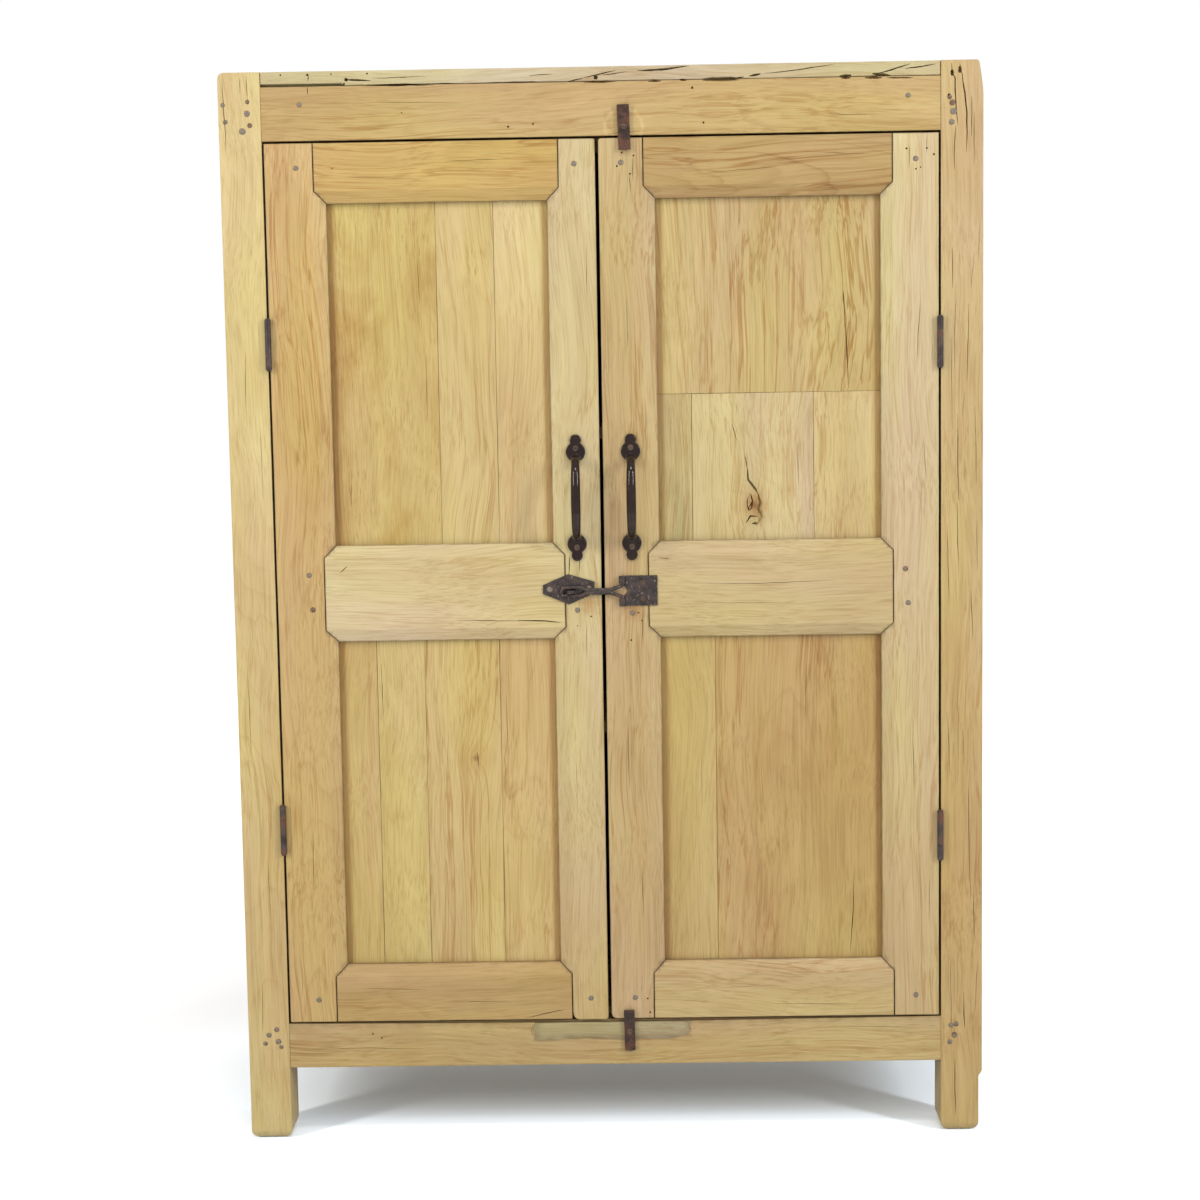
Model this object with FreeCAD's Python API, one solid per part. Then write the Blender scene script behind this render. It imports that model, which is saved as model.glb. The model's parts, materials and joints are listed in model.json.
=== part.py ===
import FreeCAD, Part
import math
import os

# Two-door armoire of reclaimed teak with hand-forged iron. Millimetres, +Z up, the doors face -Y.
# The origin is on the floor, under the middle of the whole object, pull handles included.
# Posts and rails are mortised and tenoned, panels float in grooves, and every board is its own solid.

V = FreeCAD.Vector

# ---- driving dimensions ---------------------------------------------------------------------
WIDTH, DEPTH, HEIGHT = 978.0, 430.0, 1406.0
HANDLE_REACH = 38.0  # how far the pull handles stand out from the door faces
FRONT = (HANDLE_REACH - DEPTH) / 2  # y of the faces of the posts, rails and doors
BACK = FRONT + DEPTH
FIT = 0.2  # clearance round a tenon, a panel edge or a nail

POST_W, POST_D = 54.0, 62.0
POST_IN = WIDTH / 2 - POST_W  # x of a post's inner face
FOOT_ROUND, TOP_ROUND = 9.0, 5.0

RAIL_T = 30.0  # front rails, front to back
BOTTOM_RAIL = (98.0, 158.0)  # z of every bottom rail
TOP_RAIL = (1318.5, 1387.0)
SIDE_MID_RAIL = (688.0, 772.0)
SIDE_RAIL_X = (458.0, 486.0)  # thickness of the side rails, as distances from the middle
SIDE_PANEL_X = (466.0, 475.0)
REAR_RAIL_T, BACK_BOARD_T = 28.0, 12.0
TENON_T, TENON_L, GROOVE = 10.0, 26.0, 8.0

TOP_BOARD_T, FLOOR_TOP, FLOOR_T = 18.5, 168.0, 18.0
SHELF_TOPS, SHELF_T = (556.0, 946.0), 16.0
CLEAT_W, CLEAT_H = 18.0, 22.0

DOOR_Z = (160.5, 1315.5)
DOOR_T, DOOR_EDGE = 28.0, 432.0  # thickness, and the hanging edge's distance from the middle
MEETING_X, MEETING_GAP = -5.5, 4.5
BEVEL_W, BEVEL_D = 15.5, 7.0  # the worn bevel round each panel, across and deep
DOOR_TOP_FACE, DOOR_BOTTOM_FACE = 1254.5, 221.5  # where the flat of these rails ends
DOOR_MID_FACE = (686.5, 781.5)
PANEL_Y = (FRONT + 13.0, FRONT + 22.0)
PANEL_IN = 7.5  # how far a panel sits in its grooves
DOOR_TENON_L = 34.0

HINGE_H, LEAF_W, LEAF_T = 64.0, 22.0, 1.3
KNUCKLE_R, PIN_R, PIN_CLEARANCE = 4.0, 2.0, 0.05
PIN_X, PIN_Y = 433.5, FRONT - 4.2
HINGE_Z = {-1: (422.0, 1059.5), 1: (404.0, 1050.0)}  # middles of the hinges, left and right

HANDLE_X = {-1: -38.8, 1: 32.6}
HANDLE_Z, HANDLE_ROSE, HANDLE_TIP, HANDLE_SCREW = 855.5, 59.8, 75.1, 64.5
ROSE_R, TIP_R, ROSE_T, BAR_R, BAR_FOOT = 12.7, 7.4, 3.6, 5.9, 50.0

HASP_Z, HASP_PIN_X, HASP_Y = 733.3, 19.5, FRONT - 4.9
PLATE_T, WIRE_R = 2.0, 2.4
HASP_PLATE_HALF, HASP_PLATE_END = 19.8, 65.2  # half the hinge plate's height, and where it ends
HASP_KNUCKLE_R, HASP_KNUCKLE_IN = 4.5, 9.8  # radius of the knuckles, and where they end above the middle
HASP_SCREW_X, HASP_SCREW_Z = 46.3, (HASP_Z - 11.2, HASP_Z + 11.0)
STAPLE_X, STAPLE_HOLE_R, STAPLE_T, STAPLE_TIP = -48.0, 3.2, 4.0, FRONT - 16.0
STAPLE_HALF, STAPLE_ROOT = 5.5, FRONT + 22.0  # half its width, and how deep it is driven
STAPLE_NAILS = ((-75.5, HASP_Z + 3.2, 3.6), (-24.0, HASP_Z + 4.5, 3.0))  # x, z and head radius
EYE_X, EYE_HALF, EYE_BEND = -47.6, 12.6, 5.3  # middle of the hasp's eye, half its length, wire offset

BUTTONS = {  # turn buttons: pivot x and z, width, reach up, reach down, lean in degrees
    "top": (29.8, 1329.2, 15.5, 28.0, 29.0, 1.6),
    "bottom": (20.4, 144.0, 14.0, 29.0, 26.0, 0.9),
}
BUTTON_T, WASHER_T, BUTTON_SCREW_R = 3.0, 1.0, 2.5
BUTTON_LIFT, BUTTON_BEND = 2.2, 9.0  # how far the tips are bent out, and over what length

NODES = {}


# ---- building blocks --------------------------------------------------------------------------
def box(x, y, z):
    """A box from three (low, high) pairs, in either order."""
    lows = [min(p) for p in (x, y, z)]
    sides = [abs(p[1] - p[0]) for p in (x, y, z)]
    return Part.makeBox(*sides, V(*lows))


def rod(radius, start, end):
    """A round bar from one point to another."""
    start, end = V(*start), V(*end)
    return Part.makeCylinder(radius, (end - start).Length, start, end - start)


def prism(points, along):
    """A closed polygon of points, extruded by the vector along."""
    wire = Part.makePolygon([V(*p) for p in points] + [V(*points[0])])
    return Part.Face(wire).extrude(V(*along))


def plate(outline, y, thickness):
    """A plate standing in the XZ plane: outline is a list of (x, z), and y its face nearest the room."""
    return prism([(x, y, z) for x, z in outline], (0, thickness, 0))


def bar_along(points, bends, radius):
    """A round bar along straight runs, with a tangent arc of radius bends[i] at each inner point."""
    points = [V(*p) for p in points]
    edges, start = [], points[0]
    for before, corner, after, bend in zip(points, points[1:], points[2:], bends):
        back, ahead = (before - corner).normalize(), (after - corner).normalize()
        half = back.getAngle(ahead) / 2
        reach = bend / math.tan(half)
        into, out = corner + back * reach, corner + ahead * reach
        middle = (back + ahead).normalize()
        crown = corner + middle * (bend / math.sin(half) - bend)
        edges += [Part.makeLine(start, into), Part.Arc(into, crown, out).toShape()]
        start = out
    edges.append(Part.makeLine(start, points[-1]))
    path = Part.Wire(edges)
    section = Part.Wire(Part.makeCircle(radius, points[0], points[1] - points[0]))
    return path.makePipeShell([section], True, False)


def grown(pair, by=FIT):
    return (min(pair) - by, max(pair) + by)


def mirrored(pair, side):
    """Distances from the middle as x on the left (-1) or the right (1), lowest first."""
    return tuple(sorted(side * d for d in pair))


def near(a, b):
    return a.BoundBox.intersect(b.BoundBox)


def cut_all(shape, tools):
    """Cuts from shape each tool that comes near it."""
    for tool in tools:
        if near(shape, tool):
            shape = shape.cut(tool)
    return shape


def add(name, *solids):
    """Keeps the solids as one named node."""
    found = [s for shape in solids for s in shape.Solids]
    NODES[name] = found[0] if len(found) == 1 else Part.makeCompound(found)


# ---- fasteners ----------------------------------------------------------------------------------
def cleat_nail(side, y, z, slack=0.0):
    """A nail through a cleat into the post beside it, its head flush with the cleat."""
    start = V(side * (POST_IN - CLEAT_W), y, z)
    end = start + V(side * (36 + slack), 0, 0)
    head = rod(2.6 + slack, start, start + V(side * (1.0 + slack), 0, 0))
    return head.fuse(rod(1.2 + slack, start, end))


def cleat_nail_places():
    rows = [(top - SHELF_T - CLEAT_H / 2) for top in SHELF_TOPS]
    across = (FRONT + 42, FRONT + 55, BACK - 50, BACK - 25)
    return [(side, y, z) for side in (-1, 1) for z in rows for y in across]


def nail(x, z, head_r=3.0, length=24.0, shank_r=1.5, slack=0.0):
    """A clout nail driven back from the front faces, its head half sunk. slack makes its hole."""
    head = rod(head_r + slack, (x, FRONT - 0.6, z), (x, FRONT + 0.6 + slack, z))
    return head.fuse(rod(shank_r + slack, (x, FRONT, z), (x, FRONT + length + slack, z)))


def screw(start, toward, head_r=3.0, head_t=1.2, length=16.0, shank_r=1.7, slack=0.0, slotted=True):
    """A slotted screw: start is the middle of its head's outer face, toward a unit vector into the wood."""
    start, toward = V(*start), V(*toward)
    head = rod(head_r + slack, start, start + toward * (head_t + slack))
    body = head.fuse(rod(shank_r + slack, start, start + toward * (length + slack)))
    if slotted and not slack:
        side = V(0, 0, 1) if abs(toward.z) < 0.5 else V(1, 0, 0)
        across = toward.cross(side)
        corner = start - side * 0.4 - across * 4 - toward * 0.1
        slot = [corner, corner + side * 0.8, corner + side * 0.8 + across * 8, corner + across * 8]
        body = body.cut(prism(slot, toward * 0.6))
    return body


def holes_for(make, places, **sizes):
    """The fasteners at these places, and the holes they need."""
    pieces = [make(*p, **sizes) for p in places]
    holes = [make(*p, slack=FIT / 4, **sizes) for p in places]
    return pieces, holes


# ---- carcass --------------------------------------------------------------------------------------
def post(side, front):
    """A corner post with rounded foot and top, mortised for its rails and grooved for the side panels."""
    x = mirrored((POST_IN, WIDTH / 2), side)
    y = (FRONT, FRONT + POST_D) if front else (BACK - POST_D, BACK)
    body = box(x, y, (0, HEIGHT))
    foot = [e for e in body.Edges if e.BoundBox.ZMax < 1e-3]
    body = body.makeFillet(FOOT_ROUND, foot)
    top = [
        e
        for e in body.Edges
        if e.BoundBox.ZMin > HEIGHT - 1e-3 and abs(e.BoundBox.Center.x) > POST_IN + POST_W - 1
    ]
    body = body.makeFillet(TOP_ROUND, top)
    if front and side > 0:  # the foot was once dressed back on its outer face
        relief = [(x[1] - 4.5, -1), (x[1] + 1, -1), (x[1] + 1, 84), (x[1] - 4.5, 74)]
        body = body.cut(plate(relief, FRONT - 1, POST_D + 2))
    inner = POST_IN * side
    outward = inner + side * (TENON_L + FIT)
    rail_y = front_tenon_y() if front else rear_tenon_y()
    for z in (BOTTOM_RAIL, TOP_RAIL):
        body = body.cut(box((inner, outward), grown(rail_y), grown((z[0] + 8, z[1] - 8))))
    joint_y = y[1] if front else y[0]
    into = -1 if front else 1
    for z in (BOTTOM_RAIL, SIDE_MID_RAIL, TOP_RAIL):
        mortise = (joint_y, joint_y + into * (TENON_L + FIT))
        body = body.cut(box(grown(side_tenon_x(side)), mortise, grown((z[0] + 8, z[1] - 8))))
    groove = (joint_y, joint_y + into * GROOVE)
    groove_z = (BOTTOM_RAIL[1] - GROOVE, TOP_RAIL[0] + GROOVE)
    return body.cut(box(grown(mirrored(SIDE_PANEL_X, side)), groove, groove_z))


def front_tenon_y():
    return (FRONT + 5, FRONT + 5 + TENON_T)


def rear_tenon_y():
    middle = BACK - BACK_BOARD_T - REAR_RAIL_T / 2
    return (middle - TENON_T / 2, middle + TENON_T / 2)


def side_tenon_x(side):
    middle = sum(SIDE_RAIL_X) / 2
    return mirrored((middle - 4, middle + 4), side)


def long_rail(z, y, tenon_y):
    """A rail from post to post, front or back, with a tenon at each end."""
    body = box((-POST_IN, POST_IN), y, z)
    for side in (-1, 1):
        ends = (side * (POST_IN - 1), side * (POST_IN + TENON_L))
        body = body.fuse(box(ends, tenon_y, (z[0] + 8, z[1] - 8)))
    return body.removeSplitter()


def side_rail(side, z):
    """A rail between the front and rear posts, tenoned at both ends and grooved for the panels."""
    y = (FRONT + POST_D, BACK - POST_D)
    body = box(mirrored(SIDE_RAIL_X, side), y, z)
    body = body.fuse(box(side_tenon_x(side), grown(y, TENON_L), (z[0] + 8, z[1] - 8)))
    groove_x = grown(mirrored(SIDE_PANEL_X, side))
    if z is not BOTTOM_RAIL:
        body = body.cut(box(groove_x, y, (z[0], z[0] + GROOVE)))
    if z is not TOP_RAIL:
        body = body.cut(box(groove_x, y, (z[1] - GROOVE, z[1])))
    return body.removeSplitter()


def boards(x, y, z, across, shares, gap=0.4):
    """Boards filling a box side by side along the axis across (0, 1 or 2), in these shares of its width."""
    spans = [list(x), list(y), list(z)]
    low, high = spans[across]
    total, at, made = sum(shares), low, []
    for share in shares:
        end = at + (high - low) * share / total
        spans[across] = [at + gap / 2, end - gap / 2]
        made.append(box(*spans))
        at = end
    return made


def side_panels(side):
    """Two floating panels, each of two boards, above and below the side's middle rail."""
    x = mirrored(SIDE_PANEL_X, side)
    y = (FRONT + POST_D - PANEL_IN, BACK - POST_D + PANEL_IN)
    made = []
    for z, shares in (
        ((BOTTOM_RAIL[1], SIDE_MID_RAIL[0]), (5, 6)),
        ((SIDE_MID_RAIL[1], TOP_RAIL[0]), (6, 5)),
    ):
        made += boards(x, y, grown(z, PANEL_IN), 1, shares)
    return made


def clear_of_posts(board):
    """Notches a board round the four posts."""
    for side in (-1, 1):
        x = mirrored((POST_IN - 0.4, WIDTH / 2 + 1), side)
        for y in ((FRONT - 1, FRONT + POST_D + 0.4), (BACK - POST_D - 0.4, BACK + 1)):
            board = board.cut(box(x, y, (-1, HEIGHT + 1)))
    return board


def top_boards():
    z = (HEIGHT - TOP_BOARD_T, HEIGHT)
    full = mirrored((SIDE_RAIL_X[1], -SIDE_RAIL_X[1]), 1)
    planks = boards(full, (FRONT + 0.6, BACK - 0.6), z, 1, (62, 152, 154, 62), gap=0.8)
    return [clear_of_posts(p) for p in planks]


def floor_boards():
    z = (FLOOR_TOP - FLOOR_T, FLOOR_TOP)
    wide = (-SIDE_RAIL_X[0] + 0.5, SIDE_RAIL_X[0] - 0.5)
    y = (FRONT + RAIL_T, BACK - BACK_BOARD_T - REAR_RAIL_T)
    return [clear_of_posts(p) for p in boards(wide, y, z, 1, (12, 11, 13), gap=0.8)]


def shelf(top):
    wide = (-SIDE_RAIL_X[0] + 2, SIDE_RAIL_X[0] - 2)
    y = (FRONT + RAIL_T + 4, BACK - BACK_BOARD_T - 1)
    planks = boards(wide, y, (top - SHELF_T, top), 1, (6, 7), gap=0.8)
    return [clear_of_posts(p) for p in planks]


def cleats():
    """Battens under the shelves, nailed to the posts, and under the floor boards."""
    made = []
    for side in (-1, 1):
        x = mirrored((POST_IN - CLEAT_W, POST_IN), side)
        for top in SHELF_TOPS:
            z = (top - SHELF_T - CLEAT_H, top - SHELF_T)
            made.append(box(x, (FRONT + RAIL_T + 4, BACK - BACK_BOARD_T - 2), z))
        x = mirrored((SIDE_RAIL_X[0] - CLEAT_W, SIDE_RAIL_X[0]), side)
        z = (FLOOR_TOP - FLOOR_T - CLEAT_H, FLOOR_TOP - FLOOR_T)
        made.append(box(x, (FRONT + POST_D, BACK - POST_D), z))
    return made


BACK_SHARES = (14, 16, 13, 15, 14, 15)


def back_boards():
    """Upright planks that close the back between the rear posts."""
    x = (-POST_IN + 0.4, POST_IN - 0.4)
    z = (BOTTOM_RAIL[0] + 2, HEIGHT - TOP_BOARD_T - 0.5)
    return boards(x, (BACK - BACK_BOARD_T, BACK), z, 0, BACK_SHARES, gap=1.2)


def back_nail_places():
    """Two nails through each back plank into each rear rail."""
    low, high, total, at = -POST_IN, POST_IN, sum(BACK_SHARES), -POST_IN
    places = []
    for share in BACK_SHARES:
        width = (high - low) * share / total
        for z in (sum(BOTTOM_RAIL) / 2, sum(TOP_RAIL) / 2):
            places += [(at + width * part, z + lift) for part, lift in ((0.22, 6), (0.78, -7))]
        at += width
    return places


def back_nail(x, z, slack=0.0):
    head = rod(2.6 + slack, (x, BACK + 0.0, z), (x, BACK - 1.0 - slack, z))
    return head.fuse(rod(1.2 + slack, (x, BACK - 0.5, z), (x, BACK - 27 - slack, z)))


POST_NAILS = [  # through the post faces into the rail tenons
    (-482.9, 1365.2, 2.4), (-480.3, 1343.8, 2.6), (-451.2, 1368.8, 2.5), (-452.2, 1354.0, 3.6),
    (-449.0, 1339.1, 2.9), (-458.6, 1331.8, 3.9), (-451.5, 150.5, 2.9), (-462.0, 143.0, 2.9),
    (-449.5, 134.0, 3.4), (-466.8, 131.5, 2.6), (-446.0, 126.5, 2.3), (446.0, 1359.7, 2.3),
    (449.6, 1352.5, 3.4), (451.0, 1341.7, 3.9), (448.7, 1328.1, 3.1), (448.0, 145.6, 2.8),
    (454.8, 147.0, 3.0), (452.6, 132.2, 3.6), (446.6, 122.6, 2.8), (-384.8, 1364.2, 2.8),
    (393.1, 1362.7, 3.0),
]

PATCH_X, PATCH_Z, PATCH_T = (-95.0, 105.0), (131.5, BOTTOM_RAIL[1]), 6.0


def build_carcass():
    front_y = (FRONT + 0.4, FRONT + RAIL_T)
    rear_y = (BACK - BACK_BOARD_T - REAR_RAIL_T, BACK - BACK_BOARD_T)
    patch = box(PATCH_X, (front_y[0], front_y[0] + PATCH_T), PATCH_Z)
    parts = {}
    for side, hand in ((-1, "left"), (1, "right")):
        parts[f"front_{hand}_post"] = [post(side, True)]
        parts[f"rear_{hand}_post"] = [post(side, False)]
        parts[f"{hand}_side_top_rail"] = [side_rail(side, TOP_RAIL)]
        parts[f"{hand}_side_mid_rail"] = [side_rail(side, SIDE_MID_RAIL)]
        parts[f"{hand}_side_bottom_rail"] = [side_rail(side, BOTTOM_RAIL)]
        parts[f"{hand}_side_panels"] = side_panels(side)
    parts["front_top_rail"] = [long_rail(TOP_RAIL, front_y, front_tenon_y())]
    parts["front_bottom_rail"] = [long_rail(BOTTOM_RAIL, front_y, front_tenon_y()).cut(patch)]
    parts["bottom_rail_patch"] = [patch]
    parts["rear_top_rail"] = [long_rail(TOP_RAIL, rear_y, rear_tenon_y())]
    parts["rear_bottom_rail"] = [long_rail(BOTTOM_RAIL, rear_y, rear_tenon_y())]
    parts["top_boards"] = top_boards()
    parts["floor_boards"] = floor_boards()
    parts["back_boards"] = back_boards()
    parts["lower_shelf"], parts["upper_shelf"] = (shelf(top) for top in SHELF_TOPS)
    parts["cleats"] = cleats()
    stop_y = (FRONT + RAIL_T, FRONT + RAIL_T + 15)
    parts["door_stop"] = [box((-POST_IN + 0.5, POST_IN - 0.5), stop_y, (1300, 1340))]

    nails, nail_holes = [], []
    for x, z, head in POST_NAILS:
        made, holes = holes_for(nail, [(x, z)], head_r=head)
        nails += made
        nail_holes += holes
    back_nails, back_holes = holes_for(back_nail, back_nail_places())
    cleat_nails, cleat_holes = holes_for(cleat_nail, cleat_nail_places())
    leaf_screws, leaf_holes = leaf_screws_of("post")
    pivots, pivot_holes = button_pivots()
    holes = nail_holes + back_holes + cleat_holes + leaf_holes + pivot_holes
    for name, solids in parts.items():
        add(name, *[cut_all(s, holes) for s in solids])
    add("post_nails", *nails)
    add("back_nails", *back_nails)
    add("cleat_nails", *cleat_nails)
    add("carcass_screws", *leaf_screws, *pivots)
    add("button_washers", *button_washers())
    add("post_hinge_leaves", *[hinge_leaf(side, z, "post") for side, z in hinge_places()])
    add("hinge_pins", *[hinge_pin(side, z) for side, z in hinge_places()])


# ---- hinges -----------------------------------------------------------------------------------------
def hinge_places(sides=(-1, 1)):
    return [(side, z) for side in sides for z in HINGE_Z[side]]


def knuckle_spans(z, owner):
    """The knuckles of one hinge leaf: the door's are the outer two, the post's the middle one."""
    outer, gap = 18.0, 0.4
    low, high = z - HINGE_H / 2, z + HINGE_H / 2
    if owner == "door":
        return [(low, low + outer), (high - outer, high)]
    return [(low + outer + gap, high - outer - gap)]


def leaf_x(side, owner):
    """The leaf's thickness in the gap between door and post."""
    if owner == "door":
        return mirrored((DOOR_EDGE, DOOR_EDGE + LEAF_T), side)
    return mirrored((POST_IN - LEAF_T, POST_IN), side)


def hinge_leaf(side, z, owner):
    """A leaf in the gap, joined by tabs to its knuckles round the pin in front of the faces."""
    x = leaf_x(side, owner)
    leaf = box(x, (FRONT + 0.2, FRONT + LEAF_W), (z - HINGE_H / 2, z + HINGE_H / 2))
    for low, high in knuckle_spans(z, owner):
        knuckle = rod(KNUCKLE_R, (side * PIN_X, PIN_Y, low), (side * PIN_X, PIN_Y, high))
        leaf = leaf.fuse(knuckle).fuse(box(x, (PIN_Y, FRONT + 1), (low, high)))
    bore = rod(PIN_R + PIN_CLEARANCE, (side * PIN_X, PIN_Y, z - 50), (side * PIN_X, PIN_Y, z + 50))
    leaf = leaf.cut(bore)
    return cut_all(leaf, [leaf_screw(side, at, owner, slack=FIT / 4) for at in leaf_screw_heights(z)])


def leaf_screw_heights(z):
    return (z - 22, z, z + 22)


def leaf_screw(side, z, owner, slack=0.0):
    """A screw through a leaf, its head flush with the leaf's face in the gap."""
    face = {"door": DOOR_EDGE + LEAF_T, "post": POST_IN - LEAF_T}[owner]
    toward = -side if owner == "door" else side
    start = (side * face, FRONT + 13, z)
    return screw(start, (toward, 0, 0), head_r=3.0, head_t=1.0, shank_r=1.6, length=15, slack=slack)


def leaf_screws_of(owner, sides=(-1, 1)):
    places = [(s, at, owner) for s, z in hinge_places(sides) for at in leaf_screw_heights(z)]
    return holes_for(leaf_screw, places)


def hinge_pin(side, z):
    """The pin, with a low button head above and below the knuckles."""
    x, reach = side * PIN_X, HINGE_H / 2
    pin = rod(PIN_R, (x, PIN_Y, z - reach - 0.5), (x, PIN_Y, z + reach + 0.5))
    for sign in (-1, 1):
        near_end, far_end = z + sign * (reach + 0.3), z + sign * (reach + 2.0)
        low, high = sorted((near_end, far_end))
        head = rod(3.2, (x, PIN_Y, low), (x, PIN_Y, high))
        rim = [e for e in head.Edges if abs(e.BoundBox.ZMin - far_end) < 1e-3 and e.Closed]
        pin = pin.fuse(head.makeFillet(1.0, rim))
    return pin


# ---- doors --------------------------------------------------------------------------------------------
class Door:
    """The x lines of one door: outer edges, rail shoulders, and the panel opening between the bevels."""

    def __init__(self, side, hanging_face, meeting_face):
        self.side = side
        self.hand = "left" if side < 0 else "right"
        self.hang = side * DOOR_EDGE
        self.meet = MEETING_X + side * MEETING_GAP / 2
        self.hang_shoulder = self.hang - side * hanging_face
        self.meet_shoulder = self.meet + side * meeting_face
        self.hang_open = self.hang_shoulder - side * BEVEL_W
        self.meet_open = self.meet_shoulder + side * BEVEL_W
        self.opening = tuple(sorted((self.hang_open, self.meet_open)))


LEFT = Door(-1, 61.5, 46.8)
RIGHT = Door(1, 58.5, 56.3)
OPEN_Z = {  # the two panel openings, between the bevels of the rails
    "lower": (DOOR_BOTTOM_FACE + BEVEL_W, DOOR_MID_FACE[0] - BEVEL_W),
    "upper": (DOOR_MID_FACE[1] + BEVEL_W, DOOR_TOP_FACE - BEVEL_W),
}
DOOR_RAILS = {  # z of the flat face of each rail, and of its tenon
    "bottom": (DOOR_Z[0], DOOR_BOTTOM_FACE),
    "mid": DOOR_MID_FACE,
    "top": (DOOR_TOP_FACE, DOOR_Z[1]),
}


def bevel_tool(shoulder, opening):
    """The wedge that a stile loses along its panel edge."""
    return prism(
        [(shoulder, FRONT, 0), (opening, FRONT, 0), (opening, FRONT + BEVEL_D, 0)],
        (0, 0, HEIGHT),
    )


def stile(edge, shoulder, opening):
    """A stile, cut back behind each rail's shoulder with a mitre at each panel corner."""
    low, high = DOOR_Z
    outline = [(edge, low), (edge, high), (shoulder, high), (shoulder, DOOR_TOP_FACE)]
    outline += [(opening, OPEN_Z["upper"][1]), (opening, OPEN_Z["upper"][0])]
    outline += [(shoulder, DOOR_MID_FACE[1]), (shoulder, DOOR_MID_FACE[0])]
    outline += [(opening, OPEN_Z["lower"][1]), (opening, OPEN_Z["lower"][0])]
    outline += [(shoulder, DOOR_BOTTOM_FACE), (shoulder, low)]
    body = plate(outline, FRONT, DOOR_T).cut(bevel_tool(shoulder, opening))
    inward = math.copysign(1, edge - shoulder)
    groove = (opening, opening + inward * GROOVE)
    body = body.cut(box(groove, grown(PANEL_Y), (0, HEIGHT)))
    for low_z, high_z in DOOR_RAILS.values():
        mortise = (shoulder, shoulder + inward * (DOOR_TENON_L + FIT))
        body = body.cut(box(mortise, grown(PANEL_Y), grown((low_z + 10, high_z - 10))))
    return body


def door_rail(door, name):
    """A door rail with mitred shoulders, bevelled panel edges, tenons and panel grooves."""
    low, high = DOOR_RAILS[name]
    a, b = sorted((door.hang_shoulder, door.meet_shoulder))
    c, d = door.opening
    outline = [(a, low)]
    if name != "bottom":  # a panel below
        outline += [(c, low - BEVEL_W), (d, low - BEVEL_W)]
    outline += [(b, low), (b, high)]
    if name != "top":  # a panel above
        outline += [(d, high + BEVEL_W), (c, high + BEVEL_W)]
    outline += [(a, high)]
    body = plate(outline, FRONT, DOOR_T)
    for face, sign in ((low, -1), (high, 1)):
        edge = face + sign * BEVEL_W
        wedge = [(a, FRONT, face), (a, FRONT, edge), (a, FRONT + BEVEL_D, edge)]
        has_panel = name != ("bottom" if sign < 0 else "top")
        if has_panel:
            body = body.cut(prism(wedge, (b - a, 0, 0)))
            body = body.cut(box((a, b), grown(PANEL_Y), (edge, edge - sign * GROOVE)))
    for shoulder, inward in ((a, 1), (b, -1)):
        ends = (shoulder + inward, shoulder - inward * DOOR_TENON_L)
        body = body.fuse(box(ends, PANEL_Y, (low + 10, high - 10)))
    return body.removeSplitter()


def panel(door, z, shares):
    x = grown(door.opening, PANEL_IN)
    return boards(x, PANEL_Y, grown(z, PANEL_IN), 0, shares)


def pieced_panel(door, z, seam, shares_below):
    """A panel with one wide board above a level seam, and upright boards below it."""
    x = grown(door.opening, PANEL_IN)
    low, high = grown(z, PANEL_IN)
    wide = boards(x, PANEL_Y, (seam + 0.2, high), 0, (1,))
    return wide + boards(x, PANEL_Y, (low, seam - 0.2), 0, shares_below)


DOOR_NAILS = {  # pegs through the stiles into the rail tenons, and what is left of an older latch
    -1: [(-391.6, 1284.2), (-34.7, 1284.0), (-389.7, 759.3), (-386.2, 713.9), (-393.5, 190.5),
         (-30.5, 188.5), (-39.7, 708.5)],
    1: [(25.5, 1284.5), (402.5, 1283.0), (388.7, 756.6), (392.3, 712.0), (28.5, 188.5),
        (401.5, 187.5), (32.3, 703.5)],
}


def pull_handle(x):
    """A forged pull: a bowed round bar between two roses, each with a smaller lobe at its tip."""
    grip_y = FRONT - HANDLE_REACH + BAR_R
    rise, sweep = FRONT - 1.0, 20.0
    path = [
        (x, rise, HANDLE_Z - BAR_FOOT), (x, grip_y, HANDLE_Z - BAR_FOOT),
        (x, grip_y, HANDLE_Z + BAR_FOOT), (x, rise, HANDLE_Z + BAR_FOOT),
    ]
    body = bar_along(path, [sweep, sweep], BAR_R)
    for sign in (-1, 1):
        for reach, radius in ((HANDLE_ROSE, ROSE_R), (HANDLE_TIP, TIP_R)):
            at = HANDLE_Z + sign * reach
            lobe = rod(radius, (x, FRONT - ROSE_T, at), (x, FRONT, at))
            rim = [e for e in lobe.Edges if e.Closed and e.BoundBox.YMax < FRONT - ROSE_T + 1e-3]
            body = body.fuse(lobe.makeFillet(1.2, rim))
    return body


def handle_screw(x, sign, slack=0.0):
    start = (x, FRONT - ROSE_T - 0.6, HANDLE_Z + sign * HANDLE_SCREW)
    return screw(start, (0, 1, 0), head_r=3.9, head_t=1.4, shank_r=2.1, length=26, slack=slack)


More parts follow.
